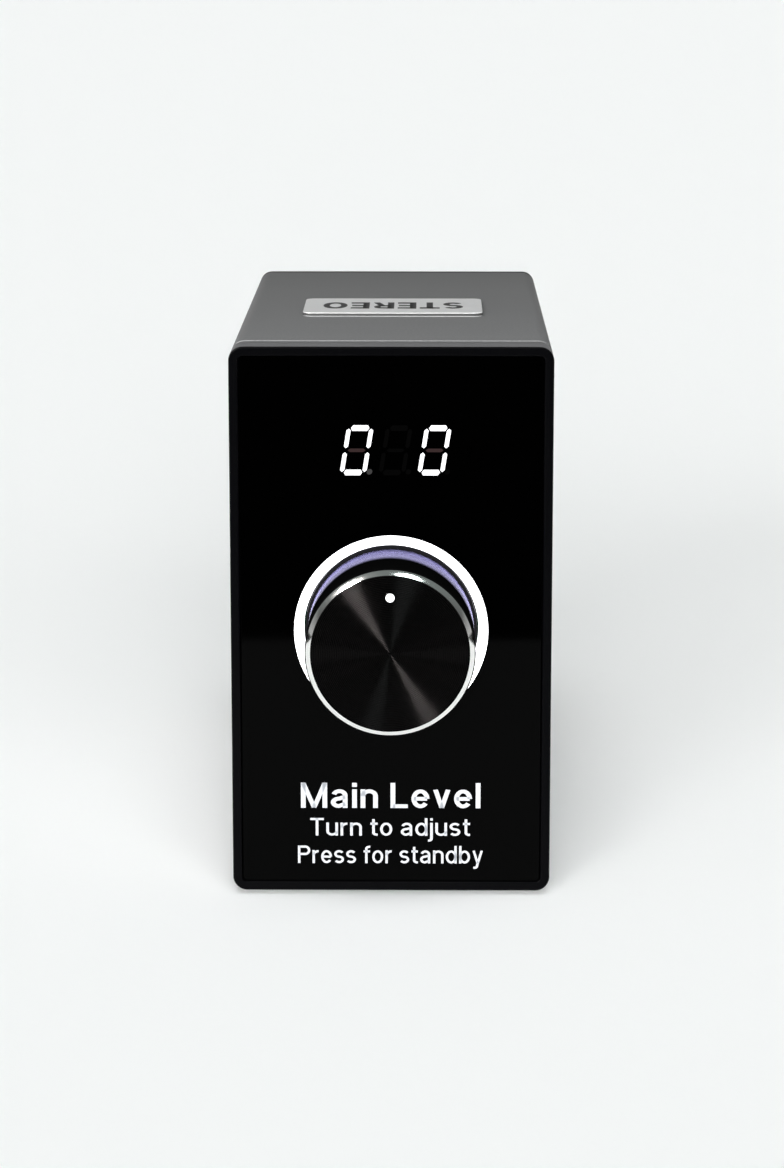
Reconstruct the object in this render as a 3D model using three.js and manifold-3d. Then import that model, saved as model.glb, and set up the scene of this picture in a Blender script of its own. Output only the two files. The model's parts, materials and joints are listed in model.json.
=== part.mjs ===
// Desktop volume control: a small portrait box with a ring-lit volume knob, a
// three-digit display, stereo line sockets and a power rocker.
// Millimetres, +Z up. The front faces -Y, and the origin lies on the desk
// under the middle of the whole object.
import * as THREE from 'three';
import { mergeVertices } from 'three/addons/utils/BufferGeometryUtils.js';
import Module from 'manifold-3d';

const wasm = await Module();
wasm.setup();

// ---- driving dimensions ---------------------------------------------------------
const BODY_W = 63.5;
const BODY_H = 110;
const CORNER_R = 2.8;
const FOOT_H = 1;
const FRONT_Y = -60;
const FRAME_DEPTH = 8.5;
const REAR_Y = 70;
const REAR_PANEL_T = 2;
const KNOB_FACE_Y = -80;
const KNOB_R = 16.5;
const KNOB_DROP = 1.6; // the knob sits this far below the middle of the body
const RING_R = 19.35;
const RING_BAND = 2;
const JACK_END_Y = 80;
const GAP = 0.3; // clearance between pieces that pass through each other
const REST = 0.1; // clearance between pieces that lie on each other
const PAST = 1; // how far a cutter runs out past the face it opens

// ---- derived places -------------------------------------------------------------
const MID_Z = FOOT_H + BODY_H / 2;
const KNOB_Z = MID_Z - KNOB_DROP;
const FRAME_BACK = FRONT_Y + FRAME_DEPTH;
const SLEEVE_Y0 = FRAME_BACK + GAP;
const SLEEVE_Y1 = REAR_Y - REAR_PANEL_T - GAP;
const SLEEVE_WALL = 1.8;
const INNER_W = BODY_W - 2 * SLEEVE_WALL;
const INNER_H = BODY_H - 2 * SLEEVE_WALL;
const SCREW_X = 25.95;
const SCREW_DZ = 49.2;
const PANEL_FRONT = FRONT_Y + GAP;
const PANEL_BACK = PANEL_FRONT + 2;
const LEDGE_Y = PANEL_BACK + GAP;
const RING_INNER_R = RING_R - RING_BAND;
const FRONT_PCB_Y = FRAME_BACK + 2 * REST;
const FRONT_PCB_BACK = FRONT_PCB_Y + 1.6;
const MAIN_PCB_X = -8.5; // the component face of the upright main board
const PCB_T = 1.6;

const corners = [
  [-1, 1],
  [1, 1],
  [-1, -1],
  [1, -1],
];

// ---- geometry helpers -----------------------------------------------------------
// Points along an arc, from one angle to another.
function arc(cx, cz, radius, from, to, steps) {
  const points = [];
  for (let i = 0; i <= steps; i += 1) {
    const angle = from + ((to - from) * i) / steps;
    points.push(new THREE.Vector2(cx + radius * Math.cos(angle), cz + radius * Math.sin(angle)));
  }
  return points;
}

// Rounded rectangle in the X-Z plane. Larger corners get more facets.
function roundedRect(width, height, radius, cx = 0, cz = MID_Z) {
  const x = width / 2 - radius;
  const z = height / 2 - radius;
  const steps = Math.max(2, Math.ceil(1.6 * radius));
  const quarter = Math.PI / 2;
  return new THREE.Shape([
    ...arc(cx + x, cz + z, radius, 0, quarter, steps),
    ...arc(cx - x, cz + z, radius, quarter, 2 * quarter, steps),
    ...arc(cx - x, cz - z, radius, 2 * quarter, 3 * quarter, steps),
    ...arc(cx + x, cz - z, radius, 3 * quarter, 4 * quarter, steps),
  ]);
}

// Rectangle with its four corners cut off at 45 degrees, in the X-Z plane.
function clippedRect(width, height, clip, cz = MID_Z) {
  const x = width / 2;
  const z = height / 2;
  const corner = [
    [x, z - clip],
    [x - clip, z],
    [clip - x, z],
    [-x, z - clip],
    [-x, clip - z],
    [clip - x, -z],
    [x - clip, -z],
    [x, clip - z],
  ];
  return new THREE.Shape(corner.map(([px, pz]) => new THREE.Vector2(px, cz + pz)));
}

// Circle in the X-Z plane, as an outline or as a hole in one.
function circle(radius, cx, cz, sides = 16) {
  return new THREE.Shape(arc(cx, cz, radius, 0, 2 * Math.PI * (1 - 1 / sides), sides - 1));
}

// Prism of an X-Z outline, from y0 back to y1.
function prismY(outline, y0, y1) {
  const geometry = new THREE.ExtrudeGeometry(outline, { depth: y1 - y0, bevelEnabled: false });
  geometry.rotateX(Math.PI / 2);
  geometry.translate(0, y1, 0);
  return geometry;
}

// Prism as above whose two end edges are chamfered.
function chamferedPrismY(outline, y0, y1, chamfer) {
  const options = {
    depth: y1 - y0 - 2 * chamfer,
    bevelSize: chamfer,
    bevelThickness: chamfer,
    bevelOffset: -chamfer,
    bevelSegments: 1,
  };
  const geometry = new THREE.ExtrudeGeometry(outline, options);
  geometry.rotateX(Math.PI / 2);
  geometry.translate(0, y1 - chamfer, 0);
  return geometry;
}

// Box from its lowest to its highest corner.
function block(x0, x1, y0, y1, z0, z1) {
  const geometry = new THREE.BoxGeometry(x1 - x0, y1 - y0, z1 - z0);
  geometry.translate((x0 + x1) / 2, (y0 + y1) / 2, (z0 + z1) / 2);
  return geometry;
}

// Round rod along Y.
function rodY(radius, y0, y1, x, z, sides = 24) {
  const geometry = new THREE.CylinderGeometry(radius, radius, y1 - y0, sides);
  geometry.translate(x, (y0 + y1) / 2, z);
  return geometry;
}

// Turned piece about the Y axis through (x, z). The profile is a list of
// [radius, y] corners, anticlockwise with the radius to the right.
function turned(profile, x, z, sides) {
  const points = profile.map(([radius, y]) => new THREE.Vector2(radius, y));
  const onAxis = points[0].x === 0;
  if (!onAxis) points.push(points[0].clone());
  const geometry = new THREE.LatheGeometry(points, sides);
  geometry.translate(x, 0, z);
  return geometry;
}

// Tube along Y.
function tubeY(outer, inner, y0, y1, x, z, sides) {
  const profile = [
    [outer, y0],
    [outer, y1],
    [inner, y1],
    [inner, y0],
  ];
  return turned(profile, x, z, sides);
}

// ---- joining and cutting --------------------------------------------------------
function toManifold(geometry) {
  const bare = geometry.clone();
  bare.deleteAttribute('normal');
  bare.deleteAttribute('uv');
  const merged = mergeVertices(bare, 1e-4);
  const corner = merged.index.array;
  const triVerts = [];
  for (let i = 0; i < corner.length; i += 3) {
    const [a, b, c] = corner.slice(i, i + 3);
    if (a !== b && b !== c && c !== a) triVerts.push(a, b, c);
  }
  const mesh = new wasm.Mesh({
    numProp: 3,
    vertProperties: merged.attributes.position.array,
    triVerts: new Uint32Array(triVerts),
  });
  return new wasm.Manifold(mesh);
}

function toGeometry(manifold) {
  const { vertProperties, triVerts } = manifold.getMesh();
  const geometry = new THREE.BufferGeometry();
  geometry.setAttribute('position', new THREE.BufferAttribute(vertProperties, 3));
  geometry.setIndex(new THREE.BufferAttribute(triVerts, 1));
  const faceted = geometry.toNonIndexed();
  faceted.computeVertexNormals();
  return faceted;
}

// Joins the added pieces to the base, then takes the cut pieces out of it.
function carve(base, added, cuts) {
  let solid = toManifold(base);
  for (const piece of added) solid = solid.add(toManifold(piece));
  for (const piece of cuts) solid = solid.subtract(toManifold(piece));
  return toGeometry(solid);
}

// ---- naming and finish ----------------------------------------------------------
const volumeControl = new THREE.Group();

function piece(name, geometry, color, roughness, metalness = 0) {
  const material = new THREE.MeshStandardMaterial({ color, roughness, metalness });
  const mesh = new THREE.Mesh(geometry, material);
  mesh.name = name;
  volumeControl.add(mesh);
  return mesh;
}

// ---- body sleeve: one aluminium extrusion, open at both ends --------------------
// Its corners hold C-shaped screw channels, and ribs at the top and bottom make
// the grooves that the main board slides into.
const CHANNEL_R = 4.3;
const CHANNEL_BORE_R = 1.4;
const CHANNEL_SLOT = 1.4;
const RIB_T = 1.6;
const RIB_H = 2.2;
const REBATE_DEPTH = 0.6; // step round the front end that shows as a shadow line
const REBATE_LENGTH = 1;

function bodySleeve() {
  const outline = roundedRect(BODY_W, BODY_H, CORNER_R);
  outline.holes.push(roundedRect(INNER_W, INNER_H, 1));
  const added = [];
  const cuts = [];
  for (const [sx, sz] of corners) {
    const x = sx * SCREW_X;
    const z = MID_Z + sz * SCREW_DZ;
    added.push(rodY(CHANNEL_R, SLEEVE_Y0, SLEEVE_Y1, x, z, 16));
    cuts.push(rodY(CHANNEL_BORE_R, SLEEVE_Y0 - PAST, SLEEVE_Y1 + PAST, x, z, 12));
    const halfSlot = CHANNEL_SLOT / 2;
    const slot = block(0, 2 * CHANNEL_R, SLEEVE_Y0 - PAST, SLEEVE_Y1 + PAST, -halfSlot, halfSlot);
    const inward = Math.atan2(-sz, -sx);
    slot.rotateY(-inward);
    slot.translate(x, 0, z);
    cuts.push(slot);
  }
  const boardMidX = MAIN_PCB_X - PCB_T / 2;
  const ribOffset = PCB_T / 2 + GAP;
  for (const side of [-1, 1]) {
    const near = boardMidX + side * ribOffset;
    const far = near + side * RIB_T;
    const x0 = Math.min(near, far);
    const x1 = Math.max(near, far);
    const floor = MID_Z - INNER_H / 2;
    const ceiling = MID_Z + INNER_H / 2;
    added.push(block(x0, x1, SLEEVE_Y0, SLEEVE_Y1, floor - PAST, floor + RIB_H));
    added.push(block(x0, x1, SLEEVE_Y0, SLEEVE_Y1, ceiling - RIB_H, ceiling + PAST));
  }
  const rebate = roundedRect(BODY_W + PAST, BODY_H + PAST, CORNER_R);
  const stepW = BODY_W - 2 * REBATE_DEPTH;
  const stepH = BODY_H - 2 * REBATE_DEPTH;
  rebate.holes.push(roundedRect(stepW, stepH, CORNER_R - REBATE_DEPTH));
  cuts.push(prismY(rebate, SLEEVE_Y0 - PAST, SLEEVE_Y0 + REBATE_LENGTH));
  return carve(prismY(outline, SLEEVE_Y0, SLEEVE_Y1), added, cuts);
}
piece('body_sleeve', bodySleeve(), 0x4d4e52, 0.42, 0.9);

// ---- front frame: moulded surround that holds the panel and the front board -----
const WINDOW_W = 59.8;
const WINDOW_H = 106.3;
const OPENING_W = 51.8;
const OPENING_H = 98.3;
const OPENING_CLIP = 8;
const FRAME_CHAMFER = 0.4;
const COUNTERBORE_R = 3;
const COUNTERBORE_Y = LEDGE_Y + 2.4;
const FRAME_SCREW_HOLE_R = 1.7;
const BOARD_SCREW_X = 27.6;
const BOARD_SCREW_DZ = 36;
const BOARD_SCREW_R = 0.9;
const PILOT_R = BOARD_SCREW_R + GAP;
const PILOT_DEPTH = 4;
const WINDOW_R = 1;

function frontFrame() {
  const outline = roundedRect(BODY_W, BODY_H, CORNER_R);
  const outer = chamferedPrismY(outline, FRONT_Y, FRAME_BACK, FRAME_CHAMFER);
  const opening = clippedRect(OPENING_W, OPENING_H, OPENING_CLIP);
  const cuts = [
    prismY(roundedRect(WINDOW_W, WINDOW_H, WINDOW_R), FRONT_Y - PAST, LEDGE_Y),
    prismY(opening, LEDGE_Y - PAST, FRAME_BACK + PAST),
  ];
  for (const [sx, sz] of corners) {
    const x = sx * SCREW_X;
    const z = MID_Z + sz * SCREW_DZ;
    cuts.push(rodY(FRAME_SCREW_HOLE_R, LEDGE_Y - PAST, FRAME_BACK + PAST, x, z, 12));
    cuts.push(rodY(COUNTERBORE_R, LEDGE_Y - PAST, COUNTERBORE_Y, x, z, 16));
  }
  for (const side of [-1, 1]) {
    const x = side * BOARD_SCREW_X;
    const z = MID_Z + side * BOARD_SCREW_DZ;
    cuts.push(rodY(PILOT_R, FRAME_BACK - PILOT_DEPTH, FRAME_BACK + PAST, x, z, 12));
  }
  return carve(outer, [], cuts);
}
piece('front_frame', frontFrame(), 0x131519, 0.55);

// ---- front panel and the tape that holds it -------------------------------------
const PANEL_CLEAR = 0.2;
const PANEL_R = WINDOW_R - PANEL_CLEAR;
const PANEL_W = WINDOW_W - 2 * PANEL_CLEAR;
const PANEL_H = WINDOW_H - 2 * PANEL_CLEAR;
const PANEL_HOLE_R = RING_R + PANEL_CLEAR;
const TAPE_CLEAR = 0.2;
const TAPE_RELIEF = 0.02;

const tapeOutline = roundedRect(PANEL_W - 2 * TAPE_CLEAR, PANEL_H - 2 * TAPE_CLEAR, PANEL_R);
tapeOutline.holes.push(clippedRect(OPENING_W + 2 * GAP, OPENING_H + 2 * GAP, OPENING_CLIP));
const tape = prismY(tapeOutline, PANEL_BACK + TAPE_RELIEF, LEDGE_Y - TAPE_RELIEF);
piece('panel_adhesive', tape, 0x1b1b1c, 0.9);

const panelOutline = roundedRect(PANEL_W, PANEL_H, PANEL_R);
panelOutline.holes.push(circle(PANEL_HOLE_R, 0, KNOB_Z, 60));
piece('front_panel', prismY(panelOutline, PANEL_FRONT, PANEL_BACK), 0x030304, 0.08);

// ---- ring light behind the knob -------------------------------------------------
// A flanged acrylic ring shows in the panel hole. A white reflector with four
// pockets and a ring board with twelve light-emitting diodes sit behind it.
const RING_FLANGE_R = 21.5;
const RING_BACK = LEDGE_Y + 1.3;
const ringProfile = [
  [RING_R, PANEL_FRONT],
  [RING_R, PANEL_BACK + 0.2],
  [RING_FLANGE_R, PANEL_BACK + 0.2],
  [RING_FLANGE_R, RING_BACK],
  [RING_INNER_R, RING_BACK],
  [RING_INNER_R, PANEL_FRONT],
];
piece('light_ring', turned(ringProfile, 0, KNOB_Z, 48), 0xffffff, 0.4);

const REFLECTOR_R = 22.2;
const REFLECTOR_FRONT = RING_BACK + 0.2;
const LED_BOARD_T = 0.8;
const LED_BOARD_FRONT = FRONT_PCB_Y - 0.2 - LED_BOARD_T;
const POCKET_R0 = 18.3;
const POCKET_R1 = 21.3;
const POCKET_HALF_ANGLE = 0.66;
const reflectorOutline = circle(REFLECTOR_R, 0, KNOB_Z, 36);
reflectorOutline.holes.push(circle(RING_INNER_R + 0.05, 0, KNOB_Z, 36));
for (let quarter = 0; quarter < 4; quarter += 1) {
  const middle = (quarter * Math.PI) / 2 + Math.PI / 4;
  const from = middle - POCKET_HALF_ANGLE;
  const to = middle + POCKET_HALF_ANGLE;
  const outer = arc(0, KNOB_Z, POCKET_R1, from, to, 8);
  const inner = arc(0, KNOB_Z, POCKET_R0, to, from, 8);
  reflectorOutline.holes.push(new THREE.Path([...outer, ...inner]));
}
const reflector = prismY(reflectorOutline, REFLECTOR_FRONT, LED_BOARD_FRONT - 0.9);
piece('ring_reflector', reflector, 0xf2f2f0, 0.6);

const DIODE_COUNT = 12;
const DIODE_HALF = 0.8;
const DIODE_H = 0.7;

function ledRingBoard() {
  const back = LED_BOARD_FRONT + LED_BOARD_T;
  const board = tubeY(REFLECTOR_R - 0.2, RING_INNER_R + 0.05, LED_BOARD_FRONT, back, 0, KNOB_Z, 36);
  const diodes = [];
  const middleR = (POCKET_R0 + POCKET_R1) / 2;
  for (let i = 0; i < DIODE_COUNT; i += 1) {
    const z0 = middleR - DIODE_HALF;
    const z1 = middleR + DIODE_HALF;
    const top = LED_BOARD_FRONT - DIODE_H;
    const diode = block(-DIODE_HALF, DIODE_HALF, top, LED_BOARD_FRONT + REST, z0, z1);
    diode.rotateY(((i + 0.5) * 2 * Math.PI) / DIODE_COUNT);
    diode.translate(0, 0, KNOB_Z);
    diodes.push(diode);
  }
  return carve(board, diodes, []);
}
piece('led_ring_board', ledRingBoard(), 0xe8e8e4, 0.6);

// ---- rotary encoder and its mount -----------------------------------------------
const HUB_FRONT = PANEL_BACK - 0.5;
const HUB_DISC_BACK = HUB_FRONT + 1.3;
const HUB_R = RING_INNER_R - 0.3;
const HUB_HOLE_R = 3.8;
const hubProfile = [
  [HUB_R, HUB_FRONT],
  [HUB_R, FRONT_PCB_Y - GAP],
  [HUB_R - 1.5, FRONT_PCB_Y - GAP],
  [HUB_R - 1.5, HUB_DISC_BACK],
  [HUB_HOLE_R, HUB_DISC_BACK],
  [HUB_HOLE_R, HUB_FRONT],
];
piece('mounting_hub', turned(hubProfile, 0, KNOB_Z, 32), 0x0a0a0b, 0.7);

const ENCODER_W = 12.5;
const ENCODER_H = 13.2;
const ENCODER_FRONT = HUB_DISC_BACK + 2 * REST;
const ENCODER_BACK = FRONT_PCB_Y - 2 * REST;
const ROTOR_CAVITY_R = 5.2;
const ROTOR_FLOOR = ENCODER_BACK - 0.7;
const SHAFT_R = 3;
const BUSHING_R = 3.5;
const BUSHING_PROUD = 3.8;
const BUSHING_END = HUB_FRONT - BUSHING_PROUD;
const WASHER_R = 6;
const WASHER_T = 0.4;
const NUT_ACROSS_FLATS = 10;
const NUT_T = 1.8;

function encoderBody() {
  const z0 = KNOB_Z - ENCODER_H / 2;
  const box = block(-ENCODER_W / 2, ENCODER_W / 2, ENCODER_FRONT, ENCODER_BACK, z0, z0 + ENCODER_H);
  const cavity = rodY(ROTOR_CAVITY_R, ENCODER_FRONT + 0.6, ROTOR_FLOOR, 0, KNOB_Z, 20);
  const mouth = rodY(BUSHING_R, ENCODER_FRONT - 1, ENCODER_FRONT + 1, 0, KNOB_Z, 20);
  return carve(box, [], [cavity, mouth]);
}
piece('encoder_body', encoderBody(), 0x7d8084, 0.45, 0.8);
const BORE_R = SHAFT_R + 0.25;
const bushing = tubeY(BUSHING_R, BORE_R, BUSHING_END, ENCODER_FRONT - REST, 0, KNOB_Z, 20);
piece('encoder_bushing', bushing, 0xb8b9bb, 0.3, 1);
const washerBack = HUB_FRONT - REST;
const washerFront = washerBack - WASHER_T;
const washer = tubeY(WASHER_R, BUSHING_R + GAP, washerFront, washerBack, 0, KNOB_Z, 20);
piece('encoder_washer', washer, 0xc4c4c4, 0.3, 1);

const nutOutline = circle(NUT_ACROSS_FLATS / Math.sqrt(3), 0, KNOB_Z, 6);
nutOutline.holes.push(circle(BUSHING_R + GAP, 0, KNOB_Z));
const nutBack = washerFront - REST;
piece('encoder_nut', prismY(nutOutline, nutBack - NUT_T, nutBack), 0xc8c4b4, 0.3, 1);

// Round outline with one flat on its lower side, for the shaft and its socket.
function flattedCircle(radius, flat) {
  const half = Math.acos(flat / radius);
  return new THREE.Shape(arc(0, KNOB_Z, radius, -Math.PI / 2 + half, 1.5 * Math.PI - half, 14));
}
const SHAFT_FLAT = 2.1;
const rotorOutline = circle(ROTOR_CAVITY_R - GAP, 0, KNOB_Z);
rotorOutline.holes.push(flattedCircle(SHAFT_R + GAP, SHAFT_FLAT + GAP));
piece('encoder_rotor', prismY(rotorOutline, ENCODER_FRONT + 0.9, ROTOR_FLOOR - 1), 0xd8d2c0, 0.5);

const SHAFT_BACK = ROTOR_FLOOR - 0.7;
const SHAFT_END = KNOB_FACE_Y + 3.6;
function encoderShaft() {
  const rod = rodY(SHAFT_R, SHAFT_END, SHAFT_BACK, 0, KNOB_Z, 20);
  const below = KNOB_Z - SHAFT_FLAT;
  const knobFlat = block(-4, 4, SHAFT_END - 1, SHAFT_END + 9, below - 2, below);
  const rotorFlat = block(-4, 4, ENCODER_FRONT + 0.3, SHAFT_BACK + 1, below - 2, below);
  return carve(rod, [], [knobFlat, rotorFlat]);
}
piece('encoder_shaft', encoderShaft(), 0xb9babb, 0.3, 1);

// ---- knob: turned from solid aluminium, counterbored over the encoder nut -------
const KNOB_BASE_Y = FRONT_Y + 1;
const KNOB_CHAMFER_R = 1;
const KNOB_CHAMFER_Y = 0.85;
const COUNTERBORE_KNOB_R = 7.5;
const COUNTERBORE_KNOB_Y = BUSHING_END - 0.9;
const BORE_END_Y = KNOB_FACE_Y + 3;
const GRUB_Y = KNOB_FACE_Y + 10;
const GRUB_R = 1.45;
const DOT_R = 0.8;
const DOT_OFFSET = 11;
const DOT_Z = KNOB_Z + DOT_OFFSET;
const DIMPLE_R = DOT_R + 0.15;
const DIMPLE_DEPTH = 0.7;

function knobBody() {
  const profile = [
    [0, KNOB_FACE_Y],
    [KNOB_R - KNOB_CHAMFER_R, KNOB_FACE_Y],
    [KNOB_R, KNOB_FACE_Y + KNOB_CHAMFER_Y],
    [KNOB_R, KNOB_BASE_Y - 0.4],
    [KNOB_R - 0.4, KNOB_BASE_Y],
    [COUNTERBORE_KNOB_R, KNOB_BASE_Y],
    [COUNTERBORE_KNOB_R, COUNTERBORE_KNOB_Y],
    [BORE_R, COUNTERBORE_KNOB_Y],
    [BORE_R, BORE_END_Y],
    [0, BORE_END_Y],
  ];
  const grubHole = new THREE.CylinderGeometry(GRUB_R + GAP, GRUB_R + GAP, KNOB_R, 12);
  grubHole.rotateX(Math.PI / 2);
  grubHole.translate(0, GRUB_Y, KNOB_Z - PAST - KNOB_R / 2);
  const dimpleEnd = KNOB_FACE_Y + DIMPLE_DEPTH;
  const dimple = rodY(DIMPLE_R, KNOB_FACE_Y - PAST, dimpleEnd, 0, DOT_Z, 16);
  return carve(turned(profile, 0, KNOB_Z, 64), [], [grubHole, dimple]);
}
piece('knob_body', knobBody(), 0x17181a, 0.25, 1);
const dotFront = KNOB_FACE_Y + REST / 2;
const dot = rodY(DOT_R, dotFront, KNOB_FACE_Y + DIMPLE_DEPTH - REST, 0, DOT_Z, 16);
piece('knob_indicator', dot, 0xffffff, 0.5);

const GRUB_LENGTH = 4;
const GRUB_SOCKET_R = 0.87;
const GRUB_SOCKET_DEPTH = 1.6;

function grubScrew() {
  const length = GRUB_LENGTH;
  const screw = new THREE.CylinderGeometry(GRUB_R, GRUB_R, length, 12);
  const socket = new THREE.CylinderGeometry(GRUB_SOCKET_R, GRUB_SOCKET_R, length, 6);
  socket.translate(0, length - GRUB_SOCKET_DEPTH, 0);
  const geometry = carve(screw, [], [socket]);
  geometry.rotateX(-Math.PI / 2);
  geometry.translate(0, GRUB_Y, KNOB_Z - SHAFT_FLAT - GAP - length / 2);
  return geometry;
}
piece('knob_grub_screw', grubScrew(), 0x232323, 0.4, 0.8);

// ---- display and front board ----------------------------------------------------
const DISPLAY_X = 0.7;
const DISPLAY_Z = 90.6;
const DISPLAY_W = 22.5;
const DISPLAY_H = 14;
const FRONT_PCB_W = 58.6;
const FRONT_PCB_H = 88;

const display = block(
  DISPLAY_X - DISPLAY_W / 2,
  DISPLAY_X + DISPLAY_W / 2,
  LEDGE_Y,
  FRONT_PCB_Y - 0.2,
  DISPLAY_Z - DISPLAY_H / 2,
  DISPLAY_Z + DISPLAY_H / 2,
);
piece('display_module', display, 0x151515, 0.5);

const frontBoardOutline = roundedRect(FRONT_PCB_W, FRONT_PCB_H, 1);
for (const side of [-1, 1]) {
  const z = MID_Z + side * BOARD_SCREW_DZ;
  frontBoardOutline.holes.push(circle(PILOT_R + REST, side * BOARD_SCREW_X, z));
}
piece('front_pcb', prismY(frontBoardOutline, FRONT_PCB_Y, FRONT_PCB_BACK), 0x15382a, 0.5);

const BOARD_SCREW_HEAD_R = 1.7;
const BOARD_SCREW_HEAD_T = 1.2;
for (const side of [-1, 1]) {
  const tip = FRAME_BACK - PILOT_DEPTH + 0.5;
  const head = FRONT_PCB_BACK + REST;
  const profile = [
    [0, tip],
    [BOARD_SCREW_R, tip],
    [BOARD_SCREW_R, head],
    [BOARD_SCREW_HEAD_R, head],
    [BOARD_SCREW_HEAD_R, head + BOARD_SCREW_HEAD_T],
    [0, head + BOARD_SCREW_HEAD_T],
  ];
  const screw = turned(profile, side * BOARD_SCREW_X, MID_Z + side * BOARD_SCREW_DZ, 12);
  piece(side < 0 ? 'front_pcb_screw_1' : 'front_pcb_screw_2', screw, 0xb0b0b0, 0.35, 1);
}

// ---- main board with its parts, in the sleeve's grooves -------------------------
const MAIN_PCB_Y0 = -44;
const MAIN_PCB_Y1 = 65;
const BOARD_CLEAR = 0.6;
const mainBoard = block(
  MAIN_PCB_X - PCB_T,
  MAIN_PCB_X,
  MAIN_PCB_Y0,
  MAIN_PCB_Y1,
  MID_Z - INNER_H / 2 + BOARD_CLEAR,
  MID_Z + INNER_H / 2 - BOARD_CLEAR,
);
piece('main_pcb', mainBoard, 0x15382a, 0.5);

const SOLDER_GAP = 0.2;
// Box-shaped component that stands `tall` off the main board.
function onBoard(name, tall, y, z, sizeY, sizeZ, color) {
  const x0 = MAIN_PCB_X + SOLDER_GAP;
  const box = block(x0, x0 + tall, y - sizeY / 2, y + sizeY / 2, z - sizeZ / 2, z + sizeZ / 2);
  return piece(name, box, color, 0.5);
}
onBoard('volume_chip', 2.3, 12, 40, 10.3, 7.5, 0x1c1c1e);
onBoard('controller_chip', 1.4, -12, 40, 7, 7, 0x1c1c1e);
onBoard('relay_1', 10, 36, 52, 15, 7.5, 0xd9d9d2);
onBoard('relay_2', 10, 36, 24, 15, 7.5, 0xd9d9d2);

const CAP_R = 4;
const CAP_H = 11.5;
const CAP_Y = 20;
for (const [index, z] of [78, 92].entries()) {
  const can = new THREE.CylinderGeometry(CAP_R, CAP_R, CAP_H, 20);
  can.rotateZ(Math.PI / 2);
  can.translate(MAIN_PCB_X + SOLDER_GAP + CAP_H / 2, CAP_Y, z);
  piece(`filter_cap_${index + 1}`, can, 0x2a2f3a, 0.4);
}

// ---- ribbon cable between the two boards ----------------------------------------
const RIBBON_X = 8;
const RIBBON_Z = 40;
const RIBBON_W = 12.7;
const RIBBON_T = 0.9;
const PLUG_W = 15;
const PLUG_T = 5.2;
const PLUG_TALL = 5;
const PLUG_Y0 = FRONT_PCB_BACK + SOLDER_GAP;
const PLUG_Y1 = PLUG_Y0 + PLUG_TALL;
const MAIN_PLUG_Y = -27.5;
const MAIN_PLUG_X1 = MAIN_PCB_X + SOLDER_GAP + PLUG_TALL;
const BEND_R = 5.5;

const plugZ0 = RIBBON_Z - PLUG_W / 2;
const plugZ1 = RIBBON_Z + PLUG_W / 2;
const plugX0 = RIBBON_X - PLUG_T / 2;
const frontPlug = block(plugX0, plugX0 + PLUG_T, PLUG_Y0, PLUG_Y1, plugZ0, plugZ1);
piece('front_ribbon_connector', frontPlug, 0x202022, 0.5);
onBoard('main_ribbon_connector', PLUG_TALL, MAIN_PLUG_Y, RIBBON_Z, PLUG_T, PLUG_W, 0x202022);

// The strip leaves the front connector straight back, turns through a quarter
// circle and enters the main connector sideways.
const half = RIBBON_T / 2;
const bendX = RIBBON_X - BEND_R;
const bendY = MAIN_PLUG_Y - BEND_R;
const ribbonOutline = new THREE.Shape([
  new THREE.Vector2(RIBBON_X - half, PLUG_Y1 + GAP),
  new THREE.Vector2(RIBBON_X + half, PLUG_Y1 + GAP),
  ...arc(bendX, bendY, BEND_R + half, 0, Math.PI / 2, 7),
  new THREE.Vector2(MAIN_PLUG_X1 + GAP, MAIN_PLUG_Y + half),
  new THREE.Vector2(MAIN_PLUG_X1 + GAP, MAIN_PLUG_Y - half),
  ...arc(bendX, bendY, BEND_R - half, Math.PI / 2, 0, 7),
]);
const ribbon = new THREE.ExtrudeGeometry(ribbonOutline, { depth: RIBBON_W, bevelEnabled: false });
ribbon.translate(0, 0, RIBBON_Z - RIBBON_W / 2);
piece('ribbon_cable', ribbon, 0x8f9196, 0.6);

// ---- rear panel and its sockets -------------------------------------------------
const JACK_R = 4.15;
const JACK_BORE_R = 3.5;
const JACK_HOLE_R = JACK_R + 0.35;
const JACK_START_Y = SLEEVE_Y1 - 1;
const INSULATOR_R = JACK_BORE_R - 0.25;
const INSULATOR_BORE_R = 1.6;
const jacks = [
  ['rca_out_right', 59, 0xb3202a],
  ['rca_out_left', 45, 0xe9e9e4],
  ['rca_in_right', 31, 0xb3202a],
  ['rca_in_left', 17, 0xe9e9e4],
];
const USB_X = MAIN_PCB_X + SOLDER_GAP + 1.63;
const USB_Z = 74;
const USB_W = 3.26;
const USB_H = 8.94;
const USB_WALL = 0.35;
const SWITCH_Z = 92;
const SWITCH_W = 13;
const SWITCH_H = 19;
const PANEL_Y0 = REAR_Y - REAR_PANEL_T;

const rearOutline = roundedRect(BODY_W, BODY_H, CORNER_R);
for (const [, z] of jacks) rearOutline.holes.push(circle(JACK_HOLE_R, 0, z, 24));
for (const [sx, sz] of corners) {
  rearOutline.holes.push(circle(1.7, sx * SCREW_X, MID_Z + sz * SCREW_DZ));
}
rearOutline.holes.push(roundedRect(USB_W + 0.7, USB_H + 0.7, 1.95, USB_X, USB_Z));
rearOutline.holes.push(roundedRect(SWITCH_W + 0.6, SWITCH_H + 0.6, 0.5, 0, SWITCH_Z));
piece('rear_panel', prismY(rearOutline, PANEL_Y0, REAR_Y), 0x17181b, 0.5, 0.6);

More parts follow.
